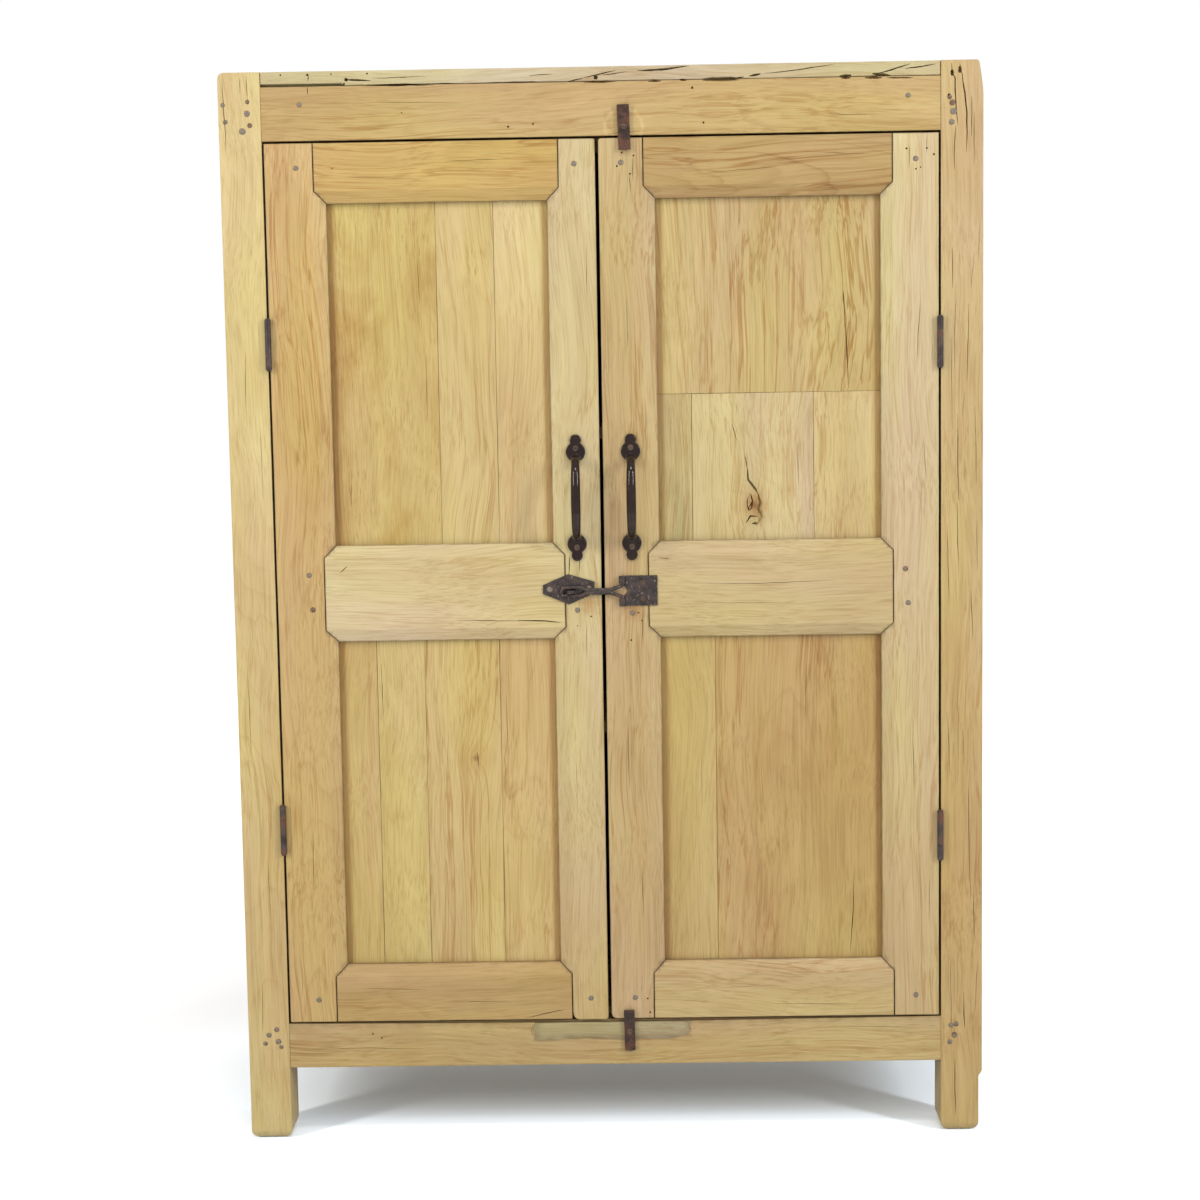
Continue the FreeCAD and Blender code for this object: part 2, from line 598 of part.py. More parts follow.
def build_door(door):
    side, hand = door.side, door.hand
    wood = {
        "hanging_stile": [stile(door.hang, door.hang_shoulder, door.hang_open)],
        "meeting_stile": [stile(door.meet, door.meet_shoulder, door.meet_open)],
    }
    for name in DOOR_RAILS:
        wood[f"{name}_rail"] = [door_rail(door, name)]
    if side < 0:
        wood["upper_panel"] = panel(door, OPEN_Z["upper"], (49, 25, 26))
        wood["lower_panel"] = panel(door, OPEN_Z["lower"], (19, 21, 33, 27))
    else:
        wood["upper_panel"] = pieced_panel(door, OPEN_Z["upper"], 988.0, (17, 52, 31))
        wood["lower_panel"] = panel(door, OPEN_Z["lower"], (26, 74))

    nails, nail_holes = holes_for(nail, DOOR_NAILS[side], head_r=3.1)
    leaf, leaf_holes = leaf_screws_of("door", (side,))
    grips, grip_holes = holes_for(handle_screw, [(HANDLE_X[side], 1), (HANDLE_X[side], -1)])
    latch, latch_nails, latch_holes = staple_fittings() if side < 0 else hasp_fittings()
    holes = nail_holes + leaf_holes + grip_holes + latch_holes
    for name, solids in wood.items():
        add(f"{hand}_door_{name}", *[cut_all(s, holes) for s in solids])
    add(f"{hand}_door_handle", cut_all(pull_handle(HANDLE_X[side]), grip_holes))
    add(f"{hand}_door_hinge_leaves", *[hinge_leaf(s, z, "door") for s, z in hinge_places((side,))])
    nails += latch_nails if side < 0 else []
    add(f"{hand}_door_nails", *nails)
    add(f"{hand}_door_screws", *leaf, *grips, *([] if side < 0 else latch_nails))
    for name, solids in latch.items():
        add(name, *solids)


# ---- hasp and staple ------------------------------------------------------------------------------------
def staple_fittings():
    """The lozenge plate on the left door, the staple through it, and the plate's nails."""
    middle = HASP_Z + 3.4
    lozenge = [(-84.5, middle - 6), (-84.5, middle + 5.5), (-51, middle + 19.5), (-17, middle + 9)]
    lozenge += [(-17, middle - 6), (-50.5, middle - 20.5)]
    body = plate(lozenge, FRONT - PLATE_T, PLATE_T)
    nose_y = STAPLE_TIP + STAPLE_HALF
    across = (STAPLE_X - STAPLE_HALF, STAPLE_X + STAPLE_HALF)
    low, high = HASP_Z - STAPLE_T / 2, HASP_Z + STAPLE_T / 2
    tab = box(across, (STAPLE_ROOT, nose_y), (low, high))
    tab = tab.fuse(rod(STAPLE_HALF, (STAPLE_X, nose_y, low), (STAPLE_X, nose_y, high)))
    tab = tab.cut(rod(STAPLE_HOLE_R, (STAPLE_X, nose_y, low - 1), (STAPLE_X, nose_y, high + 1)))
    slot = box(grown(across), (FRONT - 5, STAPLE_ROOT + FIT), grown((low, high)))
    nails, holes = [], [slot]
    for x, z, head in STAPLE_NAILS:
        for slack, kept in ((0.0, nails), (FIT / 4, holes)):
            start = (x, FRONT - PLATE_T - 0.5, z)
            kept.append(screw(start, (0, 1, 0), head_r=head, head_t=1.0, shank_r=1.6, length=20,
                              slack=slack, slotted=False))
    return {"staple_plate": [cut_all(body, holes)], "padlock_staple": [tab.removeSplitter()]}, nails, holes


def hasp_fittings():
    """The hasp's hinge plate on the right door: a plate rolled into two knuckles, and its screws."""
    low, high = HASP_Z - HASP_PLATE_HALF, HASP_Z + HASP_PLATE_HALF
    inner = (HASP_Z - HASP_KNUCKLE_IN, HASP_Z + HASP_KNUCKLE_IN)
    body = box((HASP_PIN_X, HASP_PLATE_END), (FRONT - PLATE_T, FRONT), (low, high))
    notch = [(HASP_PIN_X - 1, inner[0]), (HASP_PIN_X + 7.5, HASP_Z), (HASP_PIN_X - 1, inner[1])]
    body = body.cut(plate(notch, FRONT - PLATE_T - 1, PLATE_T + 2))
    for bottom, top in ((low, inner[0]), (inner[1], high)):
        knuckle = rod(HASP_KNUCKLE_R, (HASP_PIN_X, HASP_Y, bottom), (HASP_PIN_X, HASP_Y, top))
        web = box((HASP_PIN_X, HASP_PIN_X + 6), (FRONT - PLATE_T - 1.2, FRONT - PLATE_T), (bottom, top))
        body = body.fuse(knuckle).fuse(web)
    bore = rod(WIRE_R + PIN_CLEARANCE, (HASP_PIN_X, HASP_Y, low - 1), (HASP_PIN_X, HASP_Y, high + 1))
    body = body.cut(bore)
    screws, holes = [], []
    for z in HASP_SCREW_Z:
        for slack, kept in ((0.0, screws), (FIT / 4, holes)):
            start = (HASP_SCREW_X, FRONT - PLATE_T - 0.7, z)
            kept.append(screw(start, (0, 1, 0), head_r=3.6, head_t=1.2, shank_r=2.0, length=22, slack=slack))
    return {"hasp_hinge_plate": [cut_all(body.removeSplitter(), holes)]}, screws, holes


def hasp_arm():
    """A link of forged wire, pinched along its middle. One end is the eye over the staple, and the
    other end's two tails turn up and down into the knuckles."""
    neck = WIRE_R - 0.4  # half the distance between the pinched strands, which are forged together
    strands = []
    for sign in (-1, 1):
        def at(x, reach, up=sign):
            return (x, HASP_Y, HASP_Z + up * reach)

        path = [
            at(HASP_PIN_X, HASP_PLATE_HALF - 0.8), at(HASP_PIN_X, 7.2), at(4.0, neck), at(-28.0, neck),
            at(-35.0, EYE_BEND), at(EYE_X, EYE_BEND),
        ]
        strand = bar_along(path, [3.0, 12.0, 8.0, 10.0], WIRE_R)
        bend = rod(WIRE_R, at(EYE_X, EYE_BEND), at(EYE_X - EYE_HALF + EYE_BEND, EYE_BEND))
        strands += [strand, bend]
    centre = V(EYE_X - EYE_HALF + EYE_BEND, HASP_Y, HASP_Z)
    end = Part.makeTorus(EYE_BEND, WIRE_R, centre, V(0, 1, 0))
    keep = box((centre.x - 20, centre.x), (HASP_Y - 10, HASP_Y + 10), (HASP_Z - 20, HASP_Z + 20))
    body = end.common(keep)
    for strand in strands:
        body = body.fuse(strand)
    return body.removeSplitter()


# ---- turn buttons ---------------------------------------------------------------------------------------
def turn_button(name):
    """A strap of iron that turns on a screw, its tips bent a little towards the room."""
    x, z, width, up, down, lean = BUTTONS[name]
    near_face = FRONT - WASHER_T - BUTTON_T
    far_face, tip_face = near_face + BUTTON_T, near_face - BUTTON_LIFT
    profile = [
        (near_face, -down + BUTTON_BEND), (tip_face, -down), (tip_face + BUTTON_T, -down),
        (far_face, -down + BUTTON_BEND), (far_face, up - BUTTON_BEND),
        (tip_face + BUTTON_T, up), (tip_face, up), (near_face, up - BUTTON_BEND),
    ]
    body = prism([(x - width / 2, y, z + rise) for y, rise in profile], (width, 0, 0))
    body = body.cut(button_pivot(name, slack=0.05))
    body.rotate(V(x, 0, z), V(0, 1, 0), -lean)
    return body


def button_pivot(name, slack=0.0):
    """The round-headed screw that a button turns on."""
    x, z = BUTTONS[name][:2]
    start = (x, FRONT - WASHER_T - BUTTON_T - 1.6, z)
    return screw(start, (0, 1, 0), head_r=4.0, head_t=1.5, shank_r=BUTTON_SCREW_R, length=28, slack=slack)


def button_pivots():
    """Both pivot screws, and their holes in the rails, which start behind the washers."""
    screws = [button_pivot(name) for name in BUTTONS]
    holes = []
    for name in BUTTONS:
        x, z = BUTTONS[name][:2]
        holes.append(rod(BUTTON_SCREW_R + 0.05, (x, FRONT - 0.1, z), (x, FRONT + 24, z)))
    return screws, holes


def button_washers():
    made = []
    for x, z, *_ in BUTTONS.values():
        disc = rod(5.5, (x, FRONT - WASHER_T + 0.1, z), (x, FRONT + 0.4, z))
        made.append(disc.cut(rod(BUTTON_SCREW_R + 0.05, (x, FRONT - 2, z), (x, FRONT + 2, z))))
    return made


def main():
    build_carcass()
    build_door(LEFT)
    build_door(RIGHT)
    add("hasp_arm", hasp_arm())
    for name in BUTTONS:
        add(f"{name}_turn_button", turn_button(name))
    os.makedirs("parts", exist_ok=True)
    for name, shape in NODES.items():
        shape.exportStep(os.path.join("parts", f"{name}.step"))
        bad = [s for s in shape.Solids if not s.isValid() or s.Volume <= 0]
        print(f"{name}: {len(shape.Solids)} solids{' INVALID' if bad else ''}")
    print(len(NODES), "nodes")


main()
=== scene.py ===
import json
import math
import random

import bmesh
import bpy
import numpy as np
from mathutils import Matrix, Vector, noise


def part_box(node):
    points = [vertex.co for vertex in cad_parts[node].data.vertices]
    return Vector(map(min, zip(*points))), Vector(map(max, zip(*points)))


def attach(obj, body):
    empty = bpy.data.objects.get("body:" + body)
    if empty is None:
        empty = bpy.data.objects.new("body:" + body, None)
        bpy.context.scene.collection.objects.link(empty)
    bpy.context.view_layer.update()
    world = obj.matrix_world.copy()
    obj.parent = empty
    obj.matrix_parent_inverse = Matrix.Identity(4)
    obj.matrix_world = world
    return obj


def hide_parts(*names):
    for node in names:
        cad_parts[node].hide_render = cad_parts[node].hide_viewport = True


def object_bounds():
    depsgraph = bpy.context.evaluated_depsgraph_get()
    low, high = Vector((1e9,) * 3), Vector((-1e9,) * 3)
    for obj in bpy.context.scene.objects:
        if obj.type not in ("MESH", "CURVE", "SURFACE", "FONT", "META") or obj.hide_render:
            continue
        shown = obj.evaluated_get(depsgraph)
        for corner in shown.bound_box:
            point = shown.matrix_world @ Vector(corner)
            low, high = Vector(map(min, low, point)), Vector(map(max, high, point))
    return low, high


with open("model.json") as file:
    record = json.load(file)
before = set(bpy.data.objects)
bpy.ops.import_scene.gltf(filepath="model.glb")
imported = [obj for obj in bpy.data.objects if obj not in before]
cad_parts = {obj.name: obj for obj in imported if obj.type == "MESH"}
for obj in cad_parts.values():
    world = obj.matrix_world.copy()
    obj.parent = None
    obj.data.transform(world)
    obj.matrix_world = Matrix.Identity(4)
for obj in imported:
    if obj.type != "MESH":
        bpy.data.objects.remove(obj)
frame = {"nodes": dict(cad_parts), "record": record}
CAD_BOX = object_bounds()
MM = 0.001
BODY_OF = {n: b for b, ns in frame["record"]["behaviour"]["bodies"].items() for n in ns}
SLOT_OF = {s["node"]: s["material_slot"] for s in frame["record"]["subparts"]}

# ---- sizes that the frame does not state, in metres ------------------------------------------
BEVEL_W, BEVEL_D = 15.5 * MM, 7.0 * MM  # worn bevel round each door panel
MAX_WEAR = 6 * MM  # the widest that a worn edge is rounded
CREVICE_DIRT = 1.0 * MM  # how far the dirt of a joint spreads over the boards
CORNER_SHADE, SHADE_FADE = 12 * MM, 6 * MM  # how far the painted shade along a panel's sides reaches, and fades (partly also the finish and dirt that gather there)
SHOULDER_GAP = 1.3 * MM  # the open joint between a door's rail and stile
GRID = 14 * MM  # the mesh's step on a visible board
COARSE = 60 * MM
INSETS = (1.6 * MM, 4 * MM, 9 * MM)  # extra cuts beside a board's edges
SHADE_INSETS = (3 * MM, 6 * MM, 12 * MM)  # and beside a panel's shaded sides
FOOT_LOOK, TOP_LOOK = 0.3, 1.1  # between these heights an upright's foot fades to the look of its top
RUBBED_R = 24 * MM  # the radius of the arc that a turn button rubs
NAIL_RING = 0.55  # in millimetres, the width of the dark ring round a nail
HALF_GRIP, GRIP_BOW = 47 * MM, 5 * MM  # half the length of a pull's grip, and how far it bows out
RINGS = 165.0  # growth rings to a metre
STUDIO_LIGHT = (0.456, 0.490, 0.521)  # the boards' display colours are multiplied by it, to suit the lights

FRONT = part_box("front_left_post")[0].y
POST_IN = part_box("front_right_post")[0].x
Z = Vector((0, 0, 1))
NOWHERE = (0, 0, -9)

# Every board's colour as a display colour, then how strongly its growth rings, its dark pores and its brown
# patches show, each 0 to 1. Where a node has several boards they go from left to right, and an upright has
# the looks of its top and its foot. Most feet are darker than their tops, partly the wood's own tone and
# partly painted shade, as less light reaches low down.
LOOKS = {
    "front_left_post": [(216, 193, 138, 0.35, 0.3, 0.2), (208, 182, 120, 0.35, 0.3, 0.2)],
    "front_right_post": [(201, 173, 120, 0.3, 0.5, 0.3), (197, 167, 105, 0.3, 0.5, 0.3)],
    "front_top_rail": [(194, 163, 105, 0.45, 0.2, 0.2)],
    "front_bottom_rail": [(193, 163, 111, 0.4, 0.5, 0.4)],
    "bottom_rail_patch": [(180, 166, 122, 0.1, 0.5, 0.4)],
    "top_boards": [
        (200, 183, 145, 0.3, 0.5, 0.3), (200, 176, 126, 0.5, 0.4, 0.3), (194, 168, 116, 0.5, 0.4, 0.4),
    ],
    "left_door_hanging_stile": [(207, 175, 115, 0.6, 0.3, 0.35), (197, 162, 103, 0.6, 0.3, 0.35)],
    "left_door_meeting_stile": [(212, 193, 146, 0.25, 0.4, 0.2), (202, 176, 122, 0.25, 0.4, 0.2)],
    "left_door_top_rail": [(197, 162, 94, 0.5, 0.15, 0.2)],
    "left_door_mid_rail": [(212, 190, 144, 0.3, 0.2, 0.15)],
    "left_door_bottom_rail": [(187, 152, 97, 0.4, 0.3, 0.3)],
    "right_door_meeting_stile": [(197, 170, 120, 0.5, 0.45, 0.2), (202, 173, 124, 0.5, 0.45, 0.2)],
    "right_door_hanging_stile": [(208, 186, 138, 0.3, 0.3, 0.15), (197, 168, 120, 0.3, 0.3, 0.15)],
    "right_door_top_rail": [(185, 153, 97, 1.0, 0.2, 0.3)],
    "right_door_mid_rail": [(200, 176, 122, 0.35, 0.4, 0.15)],
    "right_door_bottom_rail": [(197, 168, 115, 0.4, 0.3, 0.2)],
    "left_door_upper_panel": [
        (203, 176, 108, 0.3, 1.0, 1.0), (206, 179, 121, 0.3, 0.2, 0.2), (213, 189, 131, 0.3, 0.2, 0.2),
    ],
    "left_door_lower_panel": [
        (203, 174, 108, 0.3, 0.6, 0.4), (205, 178, 115, 0.4, 0.4, 0.3), (205, 176, 115, 0.7, 0.3, 0.3),
        (205, 174, 110, 0.6, 0.4, 0.2),
    ],
    "right_door_upper_panel": [
        (197, 176, 122, 0.3, 0.5, 0.4), (198, 171, 114, 0.9, 0.2, 0.5), (203, 179, 131, 0.3, 0.3, 0.2),
        (209, 185, 129, 0.4, 0.3, 0.2),
    ],
    "right_door_lower_panel": [(196, 167, 105, 0.4, 0.5, 0.3), (194, 161, 100, 0.6, 0.5, 0.4)],
}
PLAIN_LOOK = [  # of the sides and the back
    (200, 172, 120, 0.4, 0.4, 0.3), (192, 164, 112, 0.4, 0.4, 0.4), (204, 178, 126, 0.4, 0.3, 0.2),
]
INSIDE_LOOK = [
    (188, 158, 106, 0.4, 0.4, 0.4), (180, 150, 100, 0.5, 0.4, 0.4), (194, 164, 112, 0.4, 0.3, 0.3),
]


# ---- reading the frame -------------------------------------------------------------------------
def solid_boxes(node):
    """(low, high) of each separate solid in a CAD node."""
    bm = bmesh.new()
    bm.from_mesh(frame["nodes"][node].data)
    bmesh.ops.remove_doubles(bm, verts=bm.verts, dist=1e-5)
    left, found = set(bm.verts), []
    while left:
        queue, group = [left.pop()], []
        while queue:
            v = queue.pop()
            group.append(v.co.copy())
            for e in v.link_edges:
                other = e.other_vert(v)
                if other in left:
                    left.remove(other)
                    queue.append(other)
        low = Vector([min(p[i] for p in group) for i in range(3)])
        high = Vector([max(p[i] for p in group) for i in range(3)])
        found.append((low, high))
    bm.free()
    return sorted(found, key=lambda b: (round(b[0].x, 4), round(b[0].y, 4), round(b[0].z, 4)))


# ---- boards --------------------------------------------------------------------------------------
def cut_places(outline, axis, step):
    """Places to cut a board across: evenly spaced, and again beside each long straight edge."""
    values = [p[axis] for p in outline]
    low, high = min(values), max(values)
    count = max(1, round((high - low) / step))
    places = [low + (high - low) * i / count for i in range(1, count)]
    for a, b in zip(outline, outline[1:] + outline[:1]):
        if abs(a[axis] - b[axis]) < 1e-6 and abs(a[1 - axis] - b[1 - axis]) > 20 * MM:
            places += [a[axis] + side * inset for side in (-1, 1) for inset in INSETS]
    return [p for p in places if low + MM < p < high - MM]


PLANES = {  # which axes an outline's u and v, and the board's thickness, run along
    "front": (0, 2, 1),
    "side": (1, 2, 0),
    "plan": (0, 1, 2),
}


def slab(outline, low, high, step, more_u=(), more_v=(), more_w=()):
    """A flat board: its outline in u and v, cut into a grid, and made solid from w = low to high."""
    bm = bmesh.new()
    bm.faces.new([bm.verts.new((u, v, low)) for u, v in outline])
    for axis, more in ((0, more_u), (1, more_v)):
        for at in cut_places(outline, axis, step) + list(more):
            normal = Vector([float(i == axis) for i in range(3)])
            geometry = bm.verts[:] + bm.edges[:] + bm.faces[:]
            bmesh.ops.bisect_plane(bm, geom=geometry, dist=1e-6, plane_co=normal * at, plane_no=normal)
    made = bmesh.ops.extrude_face_region(bm, geom=bm.faces[:] + bm.edges[:], use_keep_orig=True)
    lifted = [g for g in made["geom"] if isinstance(g, bmesh.types.BMVert)]
    bmesh.ops.translate(bm, verts=lifted, vec=(0, 0, high - low))
    for at in more_w:
        geometry = bm.verts[:] + bm.edges[:] + bm.faces[:]
        bmesh.ops.bisect_plane(bm, geom=geometry, dist=1e-6, plane_co=(0, 0, at), plane_no=(0, 0, 1))
    return bm


def clamped(value):
    return min(1.0, max(0.0, value))


def to_outline(point, outline):
    """How far a point in the outline's plane is from its nearest edge."""
    nearest = 1.0
    for (ax, ay), (bx, by) in zip(outline, outline[1:] + outline[:1]):
        dx, dy = bx - ax, by - ay
        t = clamped(((point[0] - ax) * dx + (point[1] - ay) * dy) / max(dx * dx + dy * dy, 1e-12))
        nearest = min(nearest, math.hypot(point[0] - ax - t * dx, point[1] - ay - t * dy))
    return nearest


def board(outline, plane, low, high, seed, grain, look, wear=1.0 * MM, step=GRID, warp=None, dent=None,
          rough=0.22 * MM, joints=1.0, corner=None, knot=None, rust=None, worn_by=None, foot=None,
          cutters=(), **cuts):
    """A worn board as a bmesh in the row frame. wear is how far its edges are rounded, a length or a
    function of a point; warp moves a vertex before that; dent(u, v) is how far its near face is sunk; joints
    is how dirty its edges are; corner is the two sides of the frame that it lies in, beside which it gets
    painted shade; knot and rust are the middles of such spots, worn_by is a turn button that has rubbed it,
    and foot is the look of the lower end of an upright."""
    u_axis, v_axis, w_axis = PLANES[plane]
    bm = slab(outline, low, high, step, **cuts)
    for v in bm.verts:
        if dent and abs(v.co.z - low) < 1e-7:
            v.co.z += dent(v.co.x, v.co.y)
        place = [0.0, 0.0, 0.0]
        place[u_axis], place[v_axis], place[w_axis] = v.co
        v.co = Vector(place)
        if warp:
            v.co = warp(v.co.copy())
    bmesh.ops.recalc_face_normals(bm, faces=bm.faces)
    weigh_edges(bm, seed, wear)
    rounded = rounded_copy(bm, cutters)
    looks = grown(outline, plane, (low + high) / 2, seed, grain)
    looks |= {
        "knot": Vector(knot or NOWHERE), "rust": Vector(rust or NOWHERE),
        "rubbed": pivot_of(worn_by) if worn_by else Vector(NOWHERE), "colour": Vector(srgb(*look[:3])),
        "mood": Vector(look[3:]),
    }
    finish_surface(rounded, outline, plane, looks, rough, joints, corner, foot)
    return rounded


def weigh_edges(bm, seed, wear):
    """Gives each edge the share of MAX_WEAR that it is to be rounded by, a little raggedly."""
    weight = bm.edges.layers.float.new("bevel_weight_edge")
    for e in bm.edges:
        if len(e.link_faces) != 2:
            continue
        angle = e.calc_face_angle(0)
        middle = (e.verts[0].co + e.verts[1].co) / 2
        ragged = 0.8 + 0.6 * abs(noise.noise(middle * 13 + Vector((seed, 0, 0))))
        worn = wear(middle) if callable(wear) else wear
        if angle > 0.6:
            e[weight] = min(1.0, worn * ragged / MAX_WEAR)
        elif angle > 0.12:
            e[weight] = min(1.0, 1.4 * MM / MAX_WEAR)


def grown(outline, plane, depth, seed, grain):
    """How the board lay in its tree: where the pith was, how it leaned, and a shift for the noises."""
    rng = random.Random(seed)
    u_axis, v_axis, w_axis = PLANES[plane]
    pith, lean = Vector(), Vector()
    pith[u_axis], pith[v_axis] = [sum(p[i] for p in outline) / len(outline) for i in (0, 1)]
    cross = v_axis if "xyz".index(grain) == u_axis else u_axis
    pith[cross] += rng.uniform(-0.06, 0.06)
    pith[w_axis] = depth + rng.uniform(0.03, 0.10)
    lean[cross], lean[w_axis] = rng.uniform(-0.03, 0.03), rng.choice((-1, 1)) * rng.uniform(0.05, 0.13)
    return {"pith": pith, "lean": lean, "shift": Vector([rng.uniform(-9, 9) for _ in range(3)])}


def pivot_of(button):
    """The middle of a turn button's screw, on the front faces."""
    low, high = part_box(button)
    return Vector(((low.x + high.x) / 2, FRONT, (low.z + high.z) / 2))


def linked(name, bm):
    """A new object in the scene with bm, which is used up, as its mesh."""
    mesh = bpy.data.meshes.new(name)
    bm.to_mesh(mesh)
    bm.free()
    obj = bpy.data.objects.new(name, mesh)
    bpy.context.scene.collection.objects.link(obj)
    return obj


def span(bm):
    """The corners of a bmesh's bounding box."""
    points = np.array([v.co for v in bm.verts])
    return points.min(axis=0), points.max(axis=0)


def rounded_copy(bm, cutters):
    """bm with its edges rounded by their weights, and the cutters that reach it cut out."""
    low, high = span(bm)
    near = []
    for cutter in cutters:
        first, last = span(cutter)
        if (first < high).all() and (last > low).all():
            near.append(cutter)
    obj = linked("rounding", bm)
    bevel = obj.modifiers.new("round", "BEVEL")
    bevel.width, bevel.segments, bevel.limit_method = MAX_WEAR, 3, "WEIGHT"
    bevel.use_clamp_overlap = True
    tool = None
    if near:
        tool = linked("tool", merged([cutter.copy() for cutter in near]))
        flat = obj.modifiers.new("flat", "TRIANGULATE")
        flat.quad_method = "BEAUTY"
        cut = obj.modifiers.new("cut", "BOOLEAN")
        cut.operation, cut.object, cut.solver, cut.use_self = "DIFFERENCE", tool, "EXACT", True
    made = evaluated(obj)
    out = bmesh.new()
    out.from_mesh(made)
    for gone in (obj, tool):
        if gone:
            bpy.data.objects.remove(gone)
    bpy.data.meshes.remove(made)
    return out


def merged(parts):
    """One bmesh from several, which are used up."""
    whole = bmesh.new()
    for bm in parts:
        mesh = bpy.data.meshes.new("part")
        bm.to_mesh(mesh)
        bm.free()
        whole.from_mesh(mesh)
        bpy.data.meshes.remove(mesh)
    return whole


def evaluated(obj):
    """A new mesh: obj with its modifiers applied."""
    bpy.context.view_layer.update()
    graph = bpy.context.evaluated_depsgraph_get()
    return bpy.data.meshes.new_from_object(obj.evaluated_get(graph), depsgraph=graph)


def finish_surface(bm, outline, plane, looks, rough, joints, corner, foot):
    """Hand-planed unevenness, and the attributes that the wood's materials read."""
    u_axis, v_axis, _ = PLANES[plane]
    dirt = bm.verts.layers.float.new("dirt")
    shade = bm.verts.layers.float.new("shade")
    layers = {name: bm.verts.layers.float_vector.new(name) for name in looks}
    bm.normal_update()
    for v in bm.verts:
        place = v.co[u_axis], v.co[v_axis]
        wave = noise.noise(v.co * 9 + looks["shift"]) + 0.5 * noise.noise(v.co * 34 + looks["shift"])
        v[dirt] = joints * math.exp(-to_outline(place, outline) / CREVICE_DIRT)
        # painted shade: a panel darkens near the stiles at its sides, where their shadow falls into the
        # recess
        if corner:
            beside = min(abs(place[0] - edge) for edge in corner)
            v[shade] = clamped((CORNER_SHADE - beside) / SHADE_FADE)
        for name, value in looks.items():
            v[layers[name]] = value
        # the colour fades from the foot's look to the top's: mostly darker at the foot, partly painted shade
        if foot:
            rise = clamped((v.co.z - FOOT_LOOK) / (TOP_LOOK - FOOT_LOOK))
            v[layers["colour"]] = Vector(srgb(*foot[:3])).lerp(looks["colour"], rise)
        v.co += v.normal * (wave * rough)


def rectangle(u0, u1, v0, v1):
    return [(u0, v0), (u1, v0), (u1, v1), (u0, v1)]


def box_board(low, high, plane, seed, grain, look, **how):
    """A plain rectangular board that fills the box."""
    u, v, w = PLANES[plane]
    outline = rectangle(low[u], high[u], low[v], high[v])
    return board(outline, plane, low[w], high[w], seed, grain, look, **how)


def as_piece(name, parts, material, nodes):
    """One piece from the boards' bmeshes, in place of the CAD nodes."""
    obj = linked(name, merged(parts))
    obj.data.materials.append(material)
    obj.data.shade_smooth()
    obj.data.set_sharp_from_angle(angle=math.radians(50))
    takes_over(obj, nodes)


def takes_over(obj, nodes):
    """The piece rides with the CAD nodes, and replaces them."""
    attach(obj, BODY_OF[nodes[0]])
    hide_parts(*nodes)


# ---- cracks and holes ----------------------------------------------------------------------------
def skinned(bm, rings):
    """bm with its rings of vertices joined into a closed skin that has a face at each end."""
    for a, b in zip(rings, rings[1:]):
        for i in range(len(a)):
            j = (i + 1) % len(a)
            bm.faces.new((a[i], a[j], b[j], b[i]))
    bm.faces.new(rings[0][::-1])
    bm.faces.new(rings[-1])
    bmesh.ops.recalc_face_normals(bm, faces=bm.faces)
    return bm


def crack(route, width, depth, seed=0):
    """A V-shaped split along route, points in the row frame on a front face, as a closed cutter."""
    rng = random.Random(seed)
    bm = bmesh.new()
    rings = []
    count = len(route)
    for i, (x, z) in enumerate(route):
        share = math.sin(math.pi * (i + 0.35) / (count - 0.3)) ** 0.6
        half = max(0.06 * MM, width / 2 * share * rng.uniform(0.75, 1.25))
        before, after = Vector(route[max(i - 1, 0)]), Vector(route[min(i + 1, count - 1)])
        along = (after - before).normalized()
        side = Vector((-along.y, along.x))
        out = FRONT - 3 * MM
        sunk = FRONT + depth * share
        corners = [(x + side.x * half * 1.6, out, z + side.y * half * 1.6),
                   (x - side.x * half * 1.6, out, z - side.y * half * 1.6),
                   (x, sunk + 0.3 * MM, z)]
        rings.append([bm.verts.new(c) for c in corners])
    return skinned(bm, rings)


def wander(points, seed=0, sway=0.6 * MM):
    """A wavering route through points that are given in millimetres, with a step about every 8 mm."""
    route = []
    for (x0, z0), (x1, z1) in zip(points, points[1:]):
        steps = max(2, round(math.hypot(x1 - x0, z1 - z0) / 8))
        route += [(x0 + (x1 - x0) * i / steps, z0 + (z1 - z0) * i / steps) for i in range(steps)]
    route.append(points[-1])
    made = []
    for x, z in route:
        off = noise.noise_vector(Vector((x * 0.06, z * 0.06, seed * 7.7)))
        made.append((x * MM + off.x * sway, z * MM + off.y * sway))
    return made


def nail_rings(node):
    """The dark ring of bruised wood that each nail's head is sunk in, as cutters."""
    rings = []
    for k, (low, high) in enumerate(solid_boxes(node)):
        centre = (low + high) / 2
        rings.append(pit(centre.x / MM, centre.z / MM, (high.x - low.x) / 2 / MM + NAIL_RING, 0.8, k))
    return rings


def pit(x, z, radius, depth=5, seed=0, stretch=1.0, around=11):
    """An old nail hole or worm hole, a little out of round, as a closed cutter. Millimetres."""
    rng = random.Random(seed)
    bm = bmesh.new()
    rings = []
    for y, grow in ((-3, 1.15), (0.6, 1.0), (depth, 0.6)):
        ring = []
        for k in range(around):
            a = 2 * math.pi * k / around
            r = radius * grow * rng.uniform(0.9, 1.1)
            place = Vector((x + r * math.cos(a), 0, z + r * math.sin(a) * stretch)) * MM
            place.y = FRONT + y * MM
            ring.append(bm.verts.new(place))
        rings.append(ring)
    return skinned(bm, rings)


def splits(routes, depth=5, set_back=0.0):
    """Cracks from (width, points) in millimetres, on the front or set back from it."""
    made = []
    for k, (width, *points) in enumerate(routes):
        bm = crack(wander(points, k), width * MM, depth * MM, k)
        bmesh.ops.translate(bm, verts=bm.verts, vec=(0, set_back, 0))
        made.append(bm)
    return made


def pits(places, depth=5):
    """Holes from (x, z, radius) in millimetres."""
    return [pit(x, z, r, depth, k) for k, (x, z, r) in enumerate(places)]


